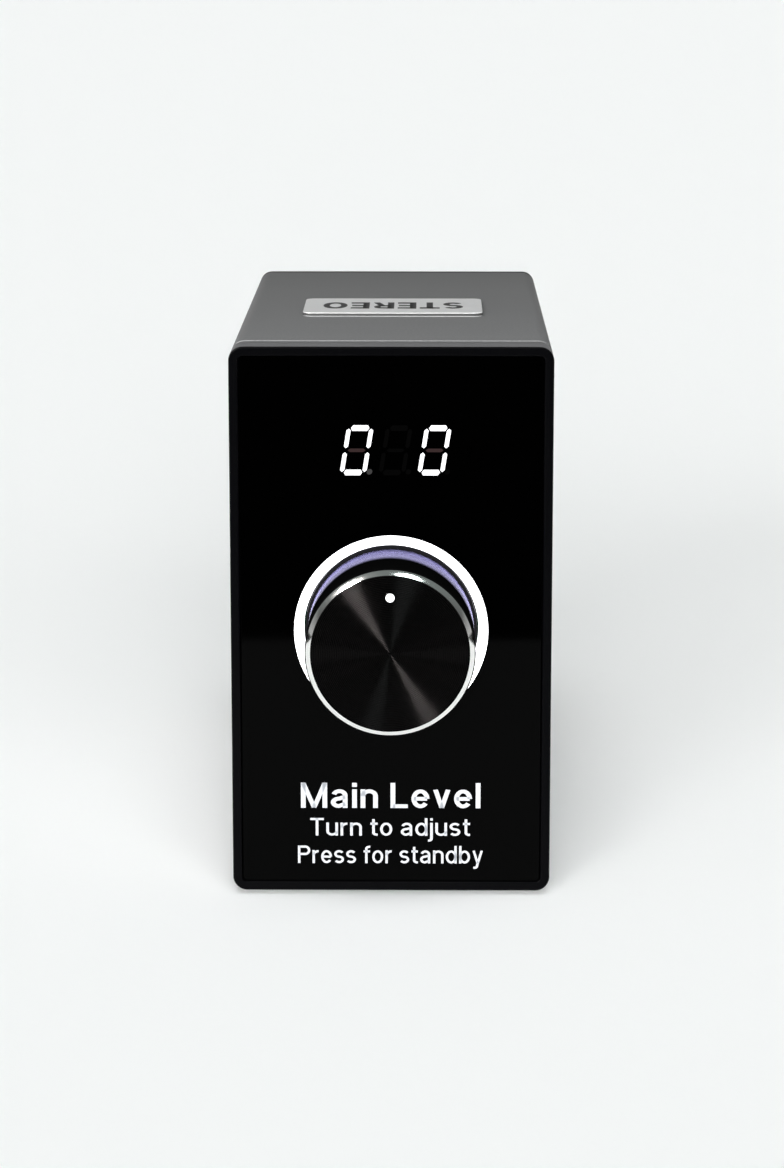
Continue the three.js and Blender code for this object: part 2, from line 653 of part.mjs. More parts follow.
for (const [index, name] of ['rca_out_housing', 'rca_in_housing'].entries()) {
  const middle = (jacks[2 * index][1] + jacks[2 * index + 1][1]) / 2;
  const box = block(MAIN_PCB_X + SOLDER_GAP, 5.2, 50, JACK_START_Y - 0.2, middle - 12.3, middle + 12.3);
  piece(name, box, 0x1b1b1d, 0.5);
}
for (const [name, z, color] of jacks) {
  const barrel = tubeY(JACK_R, JACK_BORE_R, JACK_START_Y, JACK_END_Y, 0, z, 24);
  piece(`${name}_barrel`, barrel, 0xd0a94f, 0.25, 1);
  const core = tubeY(INSULATOR_R, INSULATOR_BORE_R, JACK_START_Y, JACK_END_Y - 0.6, 0, z, 16);
  piece(`${name}_insulator`, core, color, 0.4);
}

function usbShell() {
  const y0 = REAR_Y - 7.3;
  const outer = prismY(roundedRect(USB_W, USB_H, 1.6, USB_X, USB_Z), y0, REAR_Y + 0.1);
  const hollow = roundedRect(USB_W - 2 * USB_WALL, USB_H - 2 * USB_WALL, 1.25, USB_X, USB_Z);
  return carve(outer, [], [prismY(hollow, y0 + 0.8, REAR_Y + 1)]);
}
piece('usb_c_shell', usbShell(), 0xb5b7ba, 0.3, 1);
const TONGUE_T = 0.7;
const TONGUE_W = 6.7;
const tongueX0 = USB_X - TONGUE_T / 2;
const tongueZ0 = USB_Z - TONGUE_W / 2;
const tongue = block(
  tongueX0,
  tongueX0 + TONGUE_T,
  REAR_Y - 6.2,
  REAR_Y - 0.6,
  tongueZ0,
  tongueZ0 + TONGUE_W,
);
piece('usb_c_tongue', tongue, 0x101011, 0.5);

// ---- power switch: snap-in housing and its rocker -------------------------------
const BEZEL_W = 15;
const BEZEL_H = 21;
const BEZEL_T = 1.4;
const SWITCH_BACK = 57;
const ROCKER_HALF_W = 4.9;
const ROCKER_HALF_H = 7;
const ROCKER_PIVOT_Y = 66;
const ROCKER_TILT = (10 * Math.PI) / 180;
const ROCKER_PIN_R = 0.9;
const bezelY0 = REAR_Y + 0.1;
const bezelY1 = bezelY0 + BEZEL_T;

// Rod along X, centred on x = 0.
function rodX(radius, length, y, z, sides) {
  const geometry = new THREE.CylinderGeometry(radius, radius, length, sides);
  geometry.rotateZ(Math.PI / 2);
  geometry.translate(0, y, z);
  return geometry;
}

function switchHousing() {
  const z0 = SWITCH_Z - SWITCH_H / 2;
  const body = block(-SWITCH_W / 2, SWITCH_W / 2, SWITCH_BACK, bezelY0 + 0.5, z0, z0 + SWITCH_H);
  const bezel = prismY(roundedRect(BEZEL_W, BEZEL_H, 1, 0, SWITCH_Z), bezelY0, bezelY1);
  const wellX = ROCKER_HALF_W + GAP;
  const wellZ = ROCKER_HALF_H + 1.2;
  const well = block(-wellX, wellX, SWITCH_BACK + 2, bezelY1 + 1, SWITCH_Z - wellZ, SWITCH_Z + wellZ);
  const pinHole = rodX(ROCKER_PIN_R + GAP, SWITCH_W + 2, ROCKER_PIVOT_Y, SWITCH_Z, 12);
  return carve(body, [bezel], [well, pinHole]);
}
piece('power_switch_housing', switchHousing(), 0x121213, 0.5);

// The rocker is drawn level about its pivot and then tipped to its on position.
function powerRocker() {
  const outline = new THREE.Shape();
  outline.moveTo(-2.5, -5);
  outline.lineTo(2.5, -ROCKER_HALF_H);
  outline.lineTo(5.9, -ROCKER_HALF_H);
  outline.lineTo(4.4, 0);
  outline.lineTo(5.9, ROCKER_HALF_H);
  outline.lineTo(2.5, ROCKER_HALF_H);
  outline.lineTo(-2.5, 5);
  outline.closePath();
  const paddle = new THREE.ExtrudeGeometry(outline, { depth: 2 * ROCKER_HALF_W, bevelEnabled: false });
  paddle.translate(0, 0, -ROCKER_HALF_W);
  const axes = new THREE.Matrix4();
  axes.makeBasis(new THREE.Vector3(0, 1, 0), new THREE.Vector3(0, 0, 1), new THREE.Vector3(1, 0, 0));
  paddle.applyMatrix4(axes);
  const pins = rodX(ROCKER_PIN_R, SWITCH_W - 1, 0, 0, 12);
  return carve(paddle, [pins], []);
}
const rocker = piece('power_rocker', powerRocker(), 0x0e0e0f, 0.35);
rocker.position.set(0, ROCKER_PIVOT_Y, SWITCH_Z);
rocker.rotation.x = ROCKER_TILT;

// ---- case screws ----------------------------------------------------------------
const CASE_SCREW_R = 1.1;
const CASE_SCREW_LENGTH = 12;
const HEX_R = 1.15;
const HEX_DEPTH = 1.4;

// Screw along Y with its head at `headY`, pointing towards +Y (1) or -Y (-1).
function caseScrew(name, x, z, headY, headR, headT, direction, color) {
  const outward = -direction;
  const tip = headY + direction * CASE_SCREW_LENGTH;
  const top = headY + outward * headT;
  const profile = [
    [0, top],
    [headR, top],
    [headR, headY],
    [CASE_SCREW_R, headY],
    [CASE_SCREW_R, tip],
    [0, tip],
  ];
  if (direction < 0) profile.reverse();
  const floor = top + direction * HEX_DEPTH;
  const mouth = top + outward * PAST;
  const socket = rodY(HEX_R, Math.min(floor, mouth), Math.max(floor, mouth), x, z, 6);
  const screw = carve(turned(profile, x, z, 12), [], [socket]);
  piece(name, screw, color, 0.4, 0.8);
}
for (const [index, [sx, sz]] of corners.entries()) {
  const x = sx * SCREW_X;
  const z = MID_Z + sz * SCREW_DZ;
  caseScrew(`front_frame_screw_${index + 1}`, x, z, COUNTERBORE_Y - REST, 2.4, 1.8, 1, 0x2a2a2c);
  caseScrew(`rear_panel_screw_${index + 1}`, x, z, REAR_Y + REST, 2.75, 1.6, -1, 0x1e1e20);
}

// ---- feet and badge -------------------------------------------------------------
const FOOT_R = 4.5;
const FOOT_X = 23;
const FOOT_BASE_R = 4.2;
const FOOT_BACK_Y = 57;
const FOOT_FRONT_Y = -41;
for (const [index, [sx, sy]] of corners.entries()) {
  const foot = new THREE.CylinderGeometry(FOOT_R, FOOT_BASE_R, FOOT_H, 24);
  foot.rotateX(Math.PI / 2);
  foot.translate(sx * FOOT_X, sy > 0 ? FOOT_BACK_Y : FOOT_FRONT_Y, FOOT_H / 2);
  piece(`foot_${index + 1}`, foot, 0x1d1d1e, 0.9);
}

const BADGE_W = 37.5;
const BADGE_D = 24.7;
const BADGE_T = 0.8;
const BADGE_X = -0.2;
const BADGE_Y = -1;
const badgeOutline = roundedRect(BADGE_W, BADGE_D, 2, BADGE_X, BADGE_Y);
const badge = new THREE.ExtrudeGeometry(badgeOutline, { depth: BADGE_T, bevelEnabled: false });
badge.translate(0, 0, FOOT_H + BODY_H);
piece('top_badge', badge, 0xd9d9da, 0.35, 0.6);

export default volumeControl;
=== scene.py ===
# Desktop volume control: a small upright box with a ring-lit knob and a
# three-digit display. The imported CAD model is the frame, in metres, +Z up,
# front towards -Y. Each section below is one piece, in assembly order.
import json
import math

import bpy
import numpy as np
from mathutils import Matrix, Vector
from mathutils.geometry import tessellate_polygon


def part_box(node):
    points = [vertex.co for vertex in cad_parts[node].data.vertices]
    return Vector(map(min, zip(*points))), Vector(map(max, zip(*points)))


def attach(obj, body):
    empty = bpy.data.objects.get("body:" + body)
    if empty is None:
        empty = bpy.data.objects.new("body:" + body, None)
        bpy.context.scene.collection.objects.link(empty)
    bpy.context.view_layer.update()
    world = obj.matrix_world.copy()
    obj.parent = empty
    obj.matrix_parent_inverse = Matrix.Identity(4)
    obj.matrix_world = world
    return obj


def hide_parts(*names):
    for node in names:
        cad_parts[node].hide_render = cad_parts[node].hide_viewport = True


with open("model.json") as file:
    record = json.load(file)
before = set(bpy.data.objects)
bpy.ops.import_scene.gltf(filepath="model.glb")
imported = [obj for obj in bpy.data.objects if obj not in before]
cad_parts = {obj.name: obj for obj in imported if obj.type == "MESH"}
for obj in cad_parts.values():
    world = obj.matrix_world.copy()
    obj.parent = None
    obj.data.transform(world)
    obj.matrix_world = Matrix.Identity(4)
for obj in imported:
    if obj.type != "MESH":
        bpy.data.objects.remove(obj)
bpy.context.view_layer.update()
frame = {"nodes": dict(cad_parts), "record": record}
MM = 0.001

# --- Camera ---------------------------------------------------------------------------
# A narrow lens on a stand a little above the box, looking slightly down
# at its front. The picture is taller than it is wide.
CAMERA_PLACE = (6.9 * MM, -702.8 * MM, 198.6 * MM)
CAMERA_DOWN = math.radians(11.83)
CAMERA_YAW = math.radians(0.60)
camera_data = bpy.data.cameras.new("camera")
camera_data.lens = 102.67
camera_data.sensor_width = 36.0
camera_data.clip_start = 0.01
camera = bpy.data.objects.new("camera", camera_data)
camera.location = CAMERA_PLACE
camera.rotation_euler = (math.pi / 2 - CAMERA_DOWN, 0.0, CAMERA_YAW)
bpy.context.scene.collection.objects.link(camera)
bpy.context.scene.camera = camera


# --- Desk -----------------------------------------------------------------------------
# A pale matt desk that ends in front of the box and is carried on by an apron that
# glossy things don't mirror, so the black front stays black above the desk's edge.
DESK_EDGE_Y = -0.292
DESK_REACH = 9.0
DESK_COLOUR = (0.895, 0.90, 0.90)
bpy.context.scene.view_settings.view_transform = "Standard"
bpy.context.scene.view_settings.look = "None"


def shader(name, colour, roughness, metallic=0.0, **sockets):
    """New material with one Principled shader whose constant sockets are set here."""
    material = bpy.data.materials.new(name)
    material.use_nodes = True
    principled = material.node_tree.nodes["Principled BSDF"]
    principled.inputs["Base Color"].default_value = (*colour, 1.0)
    principled.inputs["Roughness"].default_value = roughness
    principled.inputs["Metallic"].default_value = metallic
    for socket, value in sockets.items():
        principled.inputs[socket.replace("_", " ")].default_value = value
    return material


def glowing(name, colour, roughness, glow, strength, **sockets):
    """New material like shader's that also gives off light of the glow colour."""
    light = {"Emission_Color": (*glow, 1.0), "Emission_Strength": strength}
    return shader(name, colour, roughness, **light, **sockets)


def grain(material, size, rough=None, colours=None, bump=0.0, stretch=(1.0, 1.0, 1.0)):
    """Adds noise of that feature size in metres, on Object coordinates: it swings the
    roughness between two values, the colour between two tints, and raises a bump."""
    tree = material.node_tree
    principled = tree.nodes["Principled BSDF"]
    coordinates = tree.nodes.new("ShaderNodeTexCoord")
    mapping = tree.nodes.new("ShaderNodeMapping")
    mapping.inputs["Scale"].default_value = stretch
    noise = tree.nodes.new("ShaderNodeTexNoise")
    noise.inputs["Scale"].default_value = 1.0 / size
    noise.inputs["Detail"].default_value = 3.0
    tree.links.new(coordinates.outputs["Object"], mapping.inputs["Vector"])
    tree.links.new(mapping.outputs["Vector"], noise.inputs["Vector"])
    if rough is not None:
        spread = tree.nodes.new("ShaderNodeMapRange")
        spread.inputs["From Min"].default_value = 0.3
        spread.inputs["From Max"].default_value = 0.7
        spread.inputs["To Min"].default_value = rough[0]
        spread.inputs["To Max"].default_value = rough[1]
        tree.links.new(noise.outputs["Fac"], spread.inputs["Value"])
        tree.links.new(spread.outputs["Result"], principled.inputs["Roughness"])
    if colours is not None:
        ramp = tree.nodes.new("ShaderNodeValToRGB")
        ramp.color_ramp.elements[0].position = 0.3
        ramp.color_ramp.elements[1].position = 0.7
        ramp.color_ramp.elements[0].color = (*colours[0], 1.0)
        ramp.color_ramp.elements[1].color = (*colours[1], 1.0)
        tree.links.new(noise.outputs["Fac"], ramp.inputs["Fac"])
        tree.links.new(ramp.outputs["Color"], principled.inputs["Base Color"])
    if bump:
        relief = tree.nodes.new("ShaderNodeBump")
        relief.inputs["Strength"].default_value = 1.0
        relief.inputs["Distance"].default_value = bump
        tree.links.new(noise.outputs["Fac"], relief.inputs["Height"])
        tree.links.new(relief.outputs["Normal"], principled.inputs["Normal"])
    return material


def build_mesh(name, vertices, faces, smooth, materials, slots=None):
    """Mesh object at the origin from arrays of vertices and faces, with its faces marked
    smooth or flat, its materials, and the material slot of each face."""
    mesh = bpy.data.meshes.new(name)
    mesh.from_pydata(np.asarray(vertices).tolist(), [], [list(map(int, face)) for face in faces])
    for material in materials:
        mesh.materials.append(material)
    mesh.set_sharp_from_angle(angle=math.radians(38))
    mesh.polygons.foreach_set("use_smooth", np.broadcast_to(smooth, len(faces)).astype(bool))
    if slots is not None:
        mesh.polygons.foreach_set("material_index", np.asarray(slots, dtype=np.int32))
    mesh.update()
    piece = bpy.data.objects.new(name, mesh)
    bpy.context.scene.collection.objects.link(piece)
    return piece


def level_sheet(name, y0, y1, material):
    """One rectangle on the ground, as wide as the desk reaches, that faces up."""
    corners = [(-DESK_REACH, y0, 0), (DESK_REACH, y0, 0), (DESK_REACH, y1, 0), (-DESK_REACH, y1, 0)]
    sheet = build_mesh(name, corners, [(0, 1, 2, 3)], False, [material])
    return sheet


desk_paper = shader("desk_paper", DESK_COLOUR, 0.8, Specular_IOR_Level=0.0)
grain(desk_paper, 0.004, rough=(0.75, 0.85), bump=0.00002)
level_sheet("desk", DESK_EDGE_Y, DESK_REACH, desk_paper)
desk_apron = level_sheet("desk_apron", -DESK_REACH, DESK_EDGE_Y, desk_paper)
desk_apron.visible_glossy = False

# --- Backdrop -------------------------------------------------------------------------
# A round paper wall far behind the desk, in the desk's own tone. Only the camera
# sees it, so it closes the view at low angles and changes no light or reflection.
BACKDROP_R = 8.9
BACKDROP_TALL = 6.0
BACKDROP_SIDES = 120
backdrop_turns = np.arange(BACKDROP_SIDES) * 2 * math.pi / BACKDROP_SIDES
backdrop_foot = BACKDROP_R * np.stack([np.cos(backdrop_turns), np.sin(backdrop_turns)], axis=1)
backdrop_low = np.column_stack([backdrop_foot, np.zeros(BACKDROP_SIDES)])
backdrop_points = np.concatenate([backdrop_low, backdrop_low + (0.0, 0.0, BACKDROP_TALL)])
foot_index = np.arange(BACKDROP_SIDES)
next_index = (foot_index + 1) % BACKDROP_SIDES
backdrop_faces = np.stack([next_index, foot_index], axis=1)
backdrop_faces = np.hstack([backdrop_faces, backdrop_faces[:, ::-1] + BACKDROP_SIDES]).tolist()
BACKDROP_TONE = (0.925, 0.94, 0.935)
BLACK = (0.0, 0.0, 0.0)
backdrop_paper = glowing("backdrop_paper", BLACK, 1.0, BACKDROP_TONE, 1.0, Specular_IOR_Level=0.0)
backdrop = build_mesh("backdrop", backdrop_points, backdrop_faces, True, [backdrop_paper])
for ray in ("visible_diffuse", "visible_glossy", "visible_transmission", "visible_shadow"):
    setattr(backdrop, ray, False)

# --- Sky ------------------------------------------------------------------------------
# Dim overhead and bright in a narrow band at the horizon, darker behind than over
# the front. Below the horizon it is black.
SKY_DIM = (0.15, 0.17, 0.165)
SKY_BEHIND = (0.10, 0.10, 0.10)
SKY_DIM_TOWARDS = (0.0, -0.55, 0.835)
SKY_BAND_TOP = 0.28
SKY_BAND_EDGE = 0.004
SKY_BAND_GLOW = 4.5
world = bpy.data.worlds.new("soft_sky")
world.use_nodes = True
bpy.context.scene.world = world
sky_tree = world.node_tree
sky_direction = sky_tree.nodes.new("ShaderNodeTexCoord")
sky_split = sky_tree.nodes.new("ShaderNodeSeparateXYZ")
sky_facing = sky_tree.nodes.new("ShaderNodeVectorMath")
sky_facing.operation = "DOT_PRODUCT"
sky_facing.inputs[1].default_value = SKY_DIM_TOWARDS
sky_ramp = sky_tree.nodes.new("ShaderNodeValToRGB")
sky_ramp.color_ramp.elements[0].position = 0.35
sky_ramp.color_ramp.elements[0].color = (*SKY_BEHIND, 1.0)
sky_ramp.color_ramp.elements[1].position = 0.80
sky_ramp.color_ramp.elements[1].color = (*SKY_DIM, 1.0)
sky_rise = sky_tree.nodes.new("ShaderNodeValToRGB")
sky_rise.color_ramp.elements[0].position = 0.0
sky_rise.color_ramp.elements[0].color = (0.0, 0.0, 0.0, 1.0)
sky_rise.color_ramp.elements[1].position = SKY_BAND_TOP
sky_rise.color_ramp.elements[1].color = (1.0, 1.0, 1.0, 1.0)
sky_glow = sky_rise.color_ramp.elements.new(SKY_BAND_EDGE)
sky_glow.color = (SKY_BAND_GLOW, SKY_BAND_GLOW, SKY_BAND_GLOW, 1.0)
sky_tree.links.new(sky_direction.outputs["Generated"], sky_split.inputs["Vector"])
sky_tree.links.new(sky_direction.outputs["Generated"], sky_facing.inputs[0])
sky_tree.links.new(sky_facing.outputs["Value"], sky_ramp.inputs["Fac"])
sky_tree.links.new(sky_split.outputs["Z"], sky_rise.inputs["Fac"])
sky_tree.links.new(sky_ramp.outputs["Color"], sky_tree.nodes["Background"].inputs["Color"])
sky_tree.links.new(sky_rise.outputs["Color"], sky_tree.nodes["Background"].inputs["Strength"])


# --- Lamps ----------------------------------------------------------------------------
# Each lamp is far off and round. "glint" lamps are only mirrored by shiny things:
# two softboxes high to the left and right. "shade" lamps only light matt things:
# low ones in front throw the long soft shadows, and one overhead fills in.
WHITE = (1.0, 1.0, 1.0)


def soft_lamp(name, azimuth, elevation, width, power, colour, purpose):
    """Distant round lamp, all angles in degrees: the azimuth turns from -Y towards +X,
    and the lamp looks `width` across."""
    turn, rise = math.radians(azimuth), math.radians(elevation)
    flat = math.cos(rise)
    direction = Vector((math.sin(turn) * flat, -math.cos(turn) * flat, math.sin(rise)))
    lamp_data = bpy.data.lights.new(name, "SUN")
    lamp_data.angle = math.radians(width)
    lamp_data.energy = power
    lamp_data.color = colour
    lamp = bpy.data.objects.new(name, lamp_data)
    lamp.rotation_euler = (-direction).to_track_quat("-Z", "Y").to_euler()
    lamp.visible_glossy = purpose == "glint"
    lamp.visible_diffuse = purpose == "shade"
    bpy.context.scene.collection.objects.link(lamp)


soft_lamp("left_glint", -58.3, 46.7, 18.0, 6.2, (1.0, 0.95, 0.93), "glint")
soft_lamp("right_glint", 32.9, 62.0, 22.0, 0.70, (0.86, 1.0, 0.98), "glint")
soft_lamp("front_low_shade", 0.0, 12.0, 20.0, 3.65, WHITE, "shade")
soft_lamp("front_left_shade", -20.0, 12.0, 20.0, 2.20, WHITE, "shade")
soft_lamp("front_right_shade", 16.0, 19.0, 26.0, 1.20, WHITE, "shade")
soft_lamp("left_fill_shade", -50.0, 12.0, 40.0, 0.32, WHITE, "shade")
soft_lamp("overhead_shade", 0.0, 68.0, 30.0, 1.07, (0.98, 1.0, 1.0), "shade")
soft_lamp("behind_shade", 180.0, 60.0, 40.0, 0.12, WHITE, "shade")

# --- Body sleeve ----------------------------------------------------------------------
# One aluminium extrusion, sawn to length, bead blasted and anodised dark grey.
# It slides between the front frame and the rear panel.
SLEEVE_WALL = 1.8 * MM
CORNER_R = 2.8 * MM
SLEEVE_EDGE = 0.25 * MM


def rounded_outline(width, height, radius, centre, steps=14):
    """Anticlockwise rounded rectangle: four quarter circles joined by straight sides."""
    quarter = np.linspace(0.0, math.pi / 2, steps + 1)
    turns = quarter[None, :] + np.arange(4)[:, None] * math.pi / 2
    across = np.array([1, -1, -1, 1])[:, None] * (width / 2 - radius)
    up = np.array([1, 1, -1, -1])[:, None] * (height / 2 - radius)
    x = centre[0] + across + radius * np.cos(turns)
    z = centre[1] + up + radius * np.sin(turns)
    return np.stack([x.ravel(), z.ravel()], axis=1)


def inset(loop, distance):
    """The loop moved to its left by a distance: each point goes along the mitre of the
    two edges that meet there."""
    ahead = np.roll(loop, -1, axis=0) - loop
    ahead /= np.linalg.norm(ahead, axis=1, keepdims=True)
    left = np.stack([-ahead[:, 1], ahead[:, 0]], axis=1)
    mitre = left + np.roll(left, 1, axis=0)
    mitre /= (mitre * left).sum(axis=1, keepdims=True)
    return loop + mitre * distance


def swept_plate(name, loops, y0, y1, edge, materials, steps=3):
    """Plate between two depths along Y, cut to its loops of (x, z) points: the outline
    runs anticlockwise and the holes clockwise. Every loop is carried through a quarter
    round of radius `edge` at each face, and flat triangles fill the two faces. The
    straight wall round the outline takes the last of the materials."""
    turn = np.linspace(0.0, math.pi / 2, steps + 1)
    insets = edge * (1 - np.sin(turn))
    depths = edge * (1 - np.cos(turn))
    row_inset = np.concatenate([insets, insets[::-1]])
    row_y = np.concatenate([y0 + depths, (y1 - depths)[::-1]])
    vertices, faces, smooth, slots = [], [], [], []
    front, back = [], []
    base = 0
    for loop in loops:
        count = len(loop)
        rows = [inset(loop, d) for d in row_inset]
        for (points, y) in zip(rows, row_y):
            vertices.append(np.column_stack([points[:, 0], np.full(count, y), points[:, 1]]))
        here = np.arange(count)
        following = (here + 1) % count
        for row in range(len(row_y) - 1):
            low = base + row * count
            high = low + count
            quads = np.stack([low + here, high + here, high + following, low + following], axis=1)
            faces.extend(quads.tolist())
            smooth.extend([True] * count)
            outer_wall = base == 0 and row == steps
            slots.extend([len(materials) - 1 if outer_wall else 0] * count)
        front.append((base, rows[0]))
        back.append((base + (len(row_y) - 1) * count, rows[-1]))
        base += count * len(row_y)
    for ends, facing in ((front, 1), (back, -1)):
        index = np.concatenate([start + np.arange(len(points)) for start, points in ends])
        flat = np.concatenate([points for _, points in ends])
        outlines = [[Vector((x, z, 0.0)) for x, z in points] for _, points in ends]
        for triangle in tessellate_polygon(outlines):
            (ax, az), (bx, bz), (cx, cz) = flat[list(triangle)]
            turn_sign = (bx - ax) * (cz - az) - (bz - az) * (cx - ax)
            order = triangle if turn_sign * facing > 0 else triangle[::-1]
            faces.append([int(index[i]) for i in order])
            smooth.append(False)
            slots.append(0)
    return build_mesh(name, np.concatenate(vertices), faces, np.array(smooth), materials, slots)


sleeve_low, sleeve_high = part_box("body_sleeve")
BODY_W = sleeve_high[0] - sleeve_low[0]
BODY_H = sleeve_high[2] - sleeve_low[2]
MID_Z = (sleeve_low[2] + sleeve_high[2]) / 2
body_outline = rounded_outline(BODY_W, BODY_H, CORNER_R, (0.0, MID_Z))
BORE_R = 1.0 * MM
bore_size = (BODY_W - 2 * SLEEVE_WALL, BODY_H - 2 * SLEEVE_WALL)
bore_outline = rounded_outline(*bore_size, BORE_R, (0.0, MID_Z))
sleeve_finish = shader("anodised_grey", (0.046, 0.047, 0.048), 0.55, 0.25)
sleeve_greys = ((0.120, 0.121, 0.123), (0.188, 0.189, 0.191))
grain(sleeve_finish, 0.0005, rough=(0.5, 0.62), colours=sleeve_greys, bump=0.000004)
SHADOW_GAP = 1.0 * MM
GAP_DEPTH = 0.6 * MM
GAP_LAP = 0.3 * MM
sleeve = swept_plate(
    "sleeve_shell",
    [body_outline, bore_outline[::-1]],
    sleeve_low[1] + SHADOW_GAP,
    sleeve_high[1],
    SLEEVE_EDGE,
    [sleeve_finish],
)
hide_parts("body_sleeve")
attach(sleeve, "chassis")
# The rebate is coloured near black. This is painted shade for the dark shadow gap between the sleeve
# and the frame, not the anodising's own tone.
rebate_painted_shade_finish = shader("rebate_painted_shade", (0.001, 0.001, 0.001), 0.6, Specular_IOR_Level=0.1)
grain(rebate_painted_shade_finish, 0.0005, rough=(0.55, 0.65))
rebate_outline = inset(body_outline, GAP_DEPTH)
rebate = swept_plate(
    "sleeve_rebate",
    [rebate_outline, bore_outline[::-1]],
    sleeve_low[1],
    sleeve_low[1] + SHADOW_GAP + GAP_LAP,
    0.05 * MM,
    [rebate_painted_shade_finish],
)
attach(rebate, "chassis")

# --- Front frame ----------------------------------------------------------------------
# Moulded black surround with a soft outer edge. A rim stands round the front
# panel, and the ledge behind it carries the panel's tape and the front board.
RIM = 1.85 * MM
FRAME_EDGE = 0.40 * MM
frame_low, frame_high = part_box("front_frame")
frame_finish = shader("moulded_black", (0.0006, 0.0006, 0.0009), 0.42, Specular_IOR_Level=0.06)
frame_blacks = ((0.0004, 0.0004, 0.0006), (0.0007, 0.0007, 0.0010))
grain(frame_finish, 0.0003, rough=(0.38, 0.48), colours=frame_blacks, bump=0.000002)
WINDOW_R = 1.0 * MM
WINDOW_W = BODY_W - 2 * RIM
WINDOW_H = BODY_H - 2 * RIM
window_outline = rounded_outline(WINDOW_W, WINDOW_H, WINDOW_R, (0.0, MID_Z))
frame_side_finish = shader("moulded_satin_side", (0.125, 0.125, 0.129), 0.5, Specular_IOR_Level=0.7)
grain(frame_side_finish, 0.0003, rough=(0.45, 0.56), bump=0.000003)
front_rim = swept_plate(
    "frame_rim",
    [body_outline, window_outline[::-1]],
    frame_low[1],
    frame_high[1],
    FRAME_EDGE,
    [frame_finish, frame_side_finish],
    4,
)
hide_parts("front_frame")
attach(front_rim, "chassis")

# --- Frame ledge ----------------------------------------------------------------------
# The frame's inner step: the panel's tape lies on it, and its clipped opening lets
# the front board look out.
LEDGE_SET_BACK = 2.6 * MM
LEDGE_W = 51.8 * MM
LEDGE_H = 98.3 * MM
LEDGE_CLIP = 8.0 * MM
LEDGE_EDGE = 0.05 * MM
LEDGE_PLAY = 0.01 * MM
ledge_outline = inset(window_outline, LEDGE_PLAY)
clipped = [(1, 1), (-1, 1), (-1, -1), (1, -1)]
ledge_opening = []
for across, up in clipped:
    corner_long = (across * LEDGE_W / 2, MID_Z + up * (LEDGE_H / 2 - LEDGE_CLIP))
    corner_wide = (across * (LEDGE_W / 2 - LEDGE_CLIP), MID_Z + up * LEDGE_H / 2)
    pair = [corner_long, corner_wide]
    ledge_opening.extend(pair if across * up > 0 else pair[::-1])
ledge = swept_plate(
    "frame_ledge",
    [ledge_outline, np.array(ledge_opening)[::-1]],
    frame_low[1] + LEDGE_SET_BACK,
    frame_high[1],
    LEDGE_EDGE,
    [frame_finish],
)
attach(ledge, "chassis")

# --- Front panel ----------------------------------------------------------------------
# Polished smoked acrylic, 2 mm thick, with a round hole for the light ring. It
# lies a hair behind the rim and hides the display until the digits light up.
panel_low, panel_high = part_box("front_panel")
ring_low, ring_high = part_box("light_ring")
knob_low, knob_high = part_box("knob_body")
KNOB_Z = (knob_low[2] + knob_high[2]) / 2
RING_R = 19.30 * MM
RING_BAND = 1.95 * MM


def circle_outline(radius, centre, count):
    """Anticlockwise circle of points."""
    turns = np.arange(count) * 2 * math.pi / count
    return np.array(centre) + radius * np.stack([np.cos(turns), np.sin(turns)], axis=1)


PANEL_CORNER_R = 0.8 * MM
PANEL_EDGE = 0.07 * MM
HOLE_PLAY = 0.04 * MM
panel_size = (panel_high[0] - panel_low[0], panel_high[2] - panel_low[2])
panel_outline = rounded_outline(*panel_size, PANEL_CORNER_R, (0.0, MID_Z))
panel_hole = circle_outline(RING_R + HOLE_PLAY, (0.0, KNOB_Z), 160)
panel_finish = shader("smoked_acrylic", (0.0001, 0.0001, 0.0001), 0.05, Specular_IOR_Level=0.045)
grain(panel_finish, 0.02, rough=(0.035, 0.065))
panel_loops = [panel_outline, panel_hole[::-1]]
panel_depths = (panel_low[1], panel_high[1])
panel = swept_plate("acrylic_panel", panel_loops, *panel_depths, PANEL_EDGE, [panel_finish])
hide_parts("front_panel")
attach(panel, "chassis")

# --- Light ring -----------------------------------------------------------------------
# Opal acrylic light guide, flush with the panel. Diodes behind it light it
# evenly, and its hidden flange is clamped between the panel and the reflector.


def turned(name, profile, count, materials, centre_z, slots=None, centre_x=0.0):
    """Surface turned about a line along Y: the profile's (radius, y) points go round at
    `count` angles. Its ends lie on the axis, or it closes on itself. The outside is
    drawn with y rising."""
    profile = np.asarray(profile, dtype=float)
    closed = profile[0, 0] > 0
    turns = np.arange(count) * 2 * math.pi / count
    ring_rows = profile if closed else profile[1:-1]
    radius = ring_rows[:, 0][:, None]
    x = centre_x + radius * np.cos(turns)[None, :]
    z = centre_z + radius * np.sin(turns)[None, :]
    y = np.broadcast_to(ring_rows[:, 1][:, None], x.shape)
    vertices = np.stack([x, y, z], axis=2).reshape(-1, 3)
    rows = len(ring_rows)
    here = np.arange(count)
    following = (here + 1) % count
    spans = rows if closed else rows - 1
    low = (np.arange(spans) * count)[:, None]
    high = ((np.arange(spans) + 1) % rows * count)[:, None]
    quads = np.stack([low + here, high + here, high + following, low + following], axis=2)
    faces = quads.reshape(-1, 4).tolist()
    slots = np.zeros(rows + 1, dtype=int) if slots is None else slots
    face_slots = np.repeat(slots[:spans], count).tolist()
    if not closed:
        start = len(vertices)
        poles = np.array([[centre_x, end_y, centre_z] for end_y in profile[[0, -1], 1]])
        vertices = np.concatenate([vertices, poles])
        last = (rows - 1) * count
        first_pole = np.full(count, start)
        last_pole = np.full(count, start + 1)
        faces.extend(np.stack([first_pole, here, following], axis=1).tolist())
        faces.extend(np.stack([last + following, last + here, last_pole], axis=1).tolist())
        face_slots.extend([slots[0]] * count + [slots[-1]] * count)
    return build_mesh(name, vertices, faces, True, materials, face_slots)


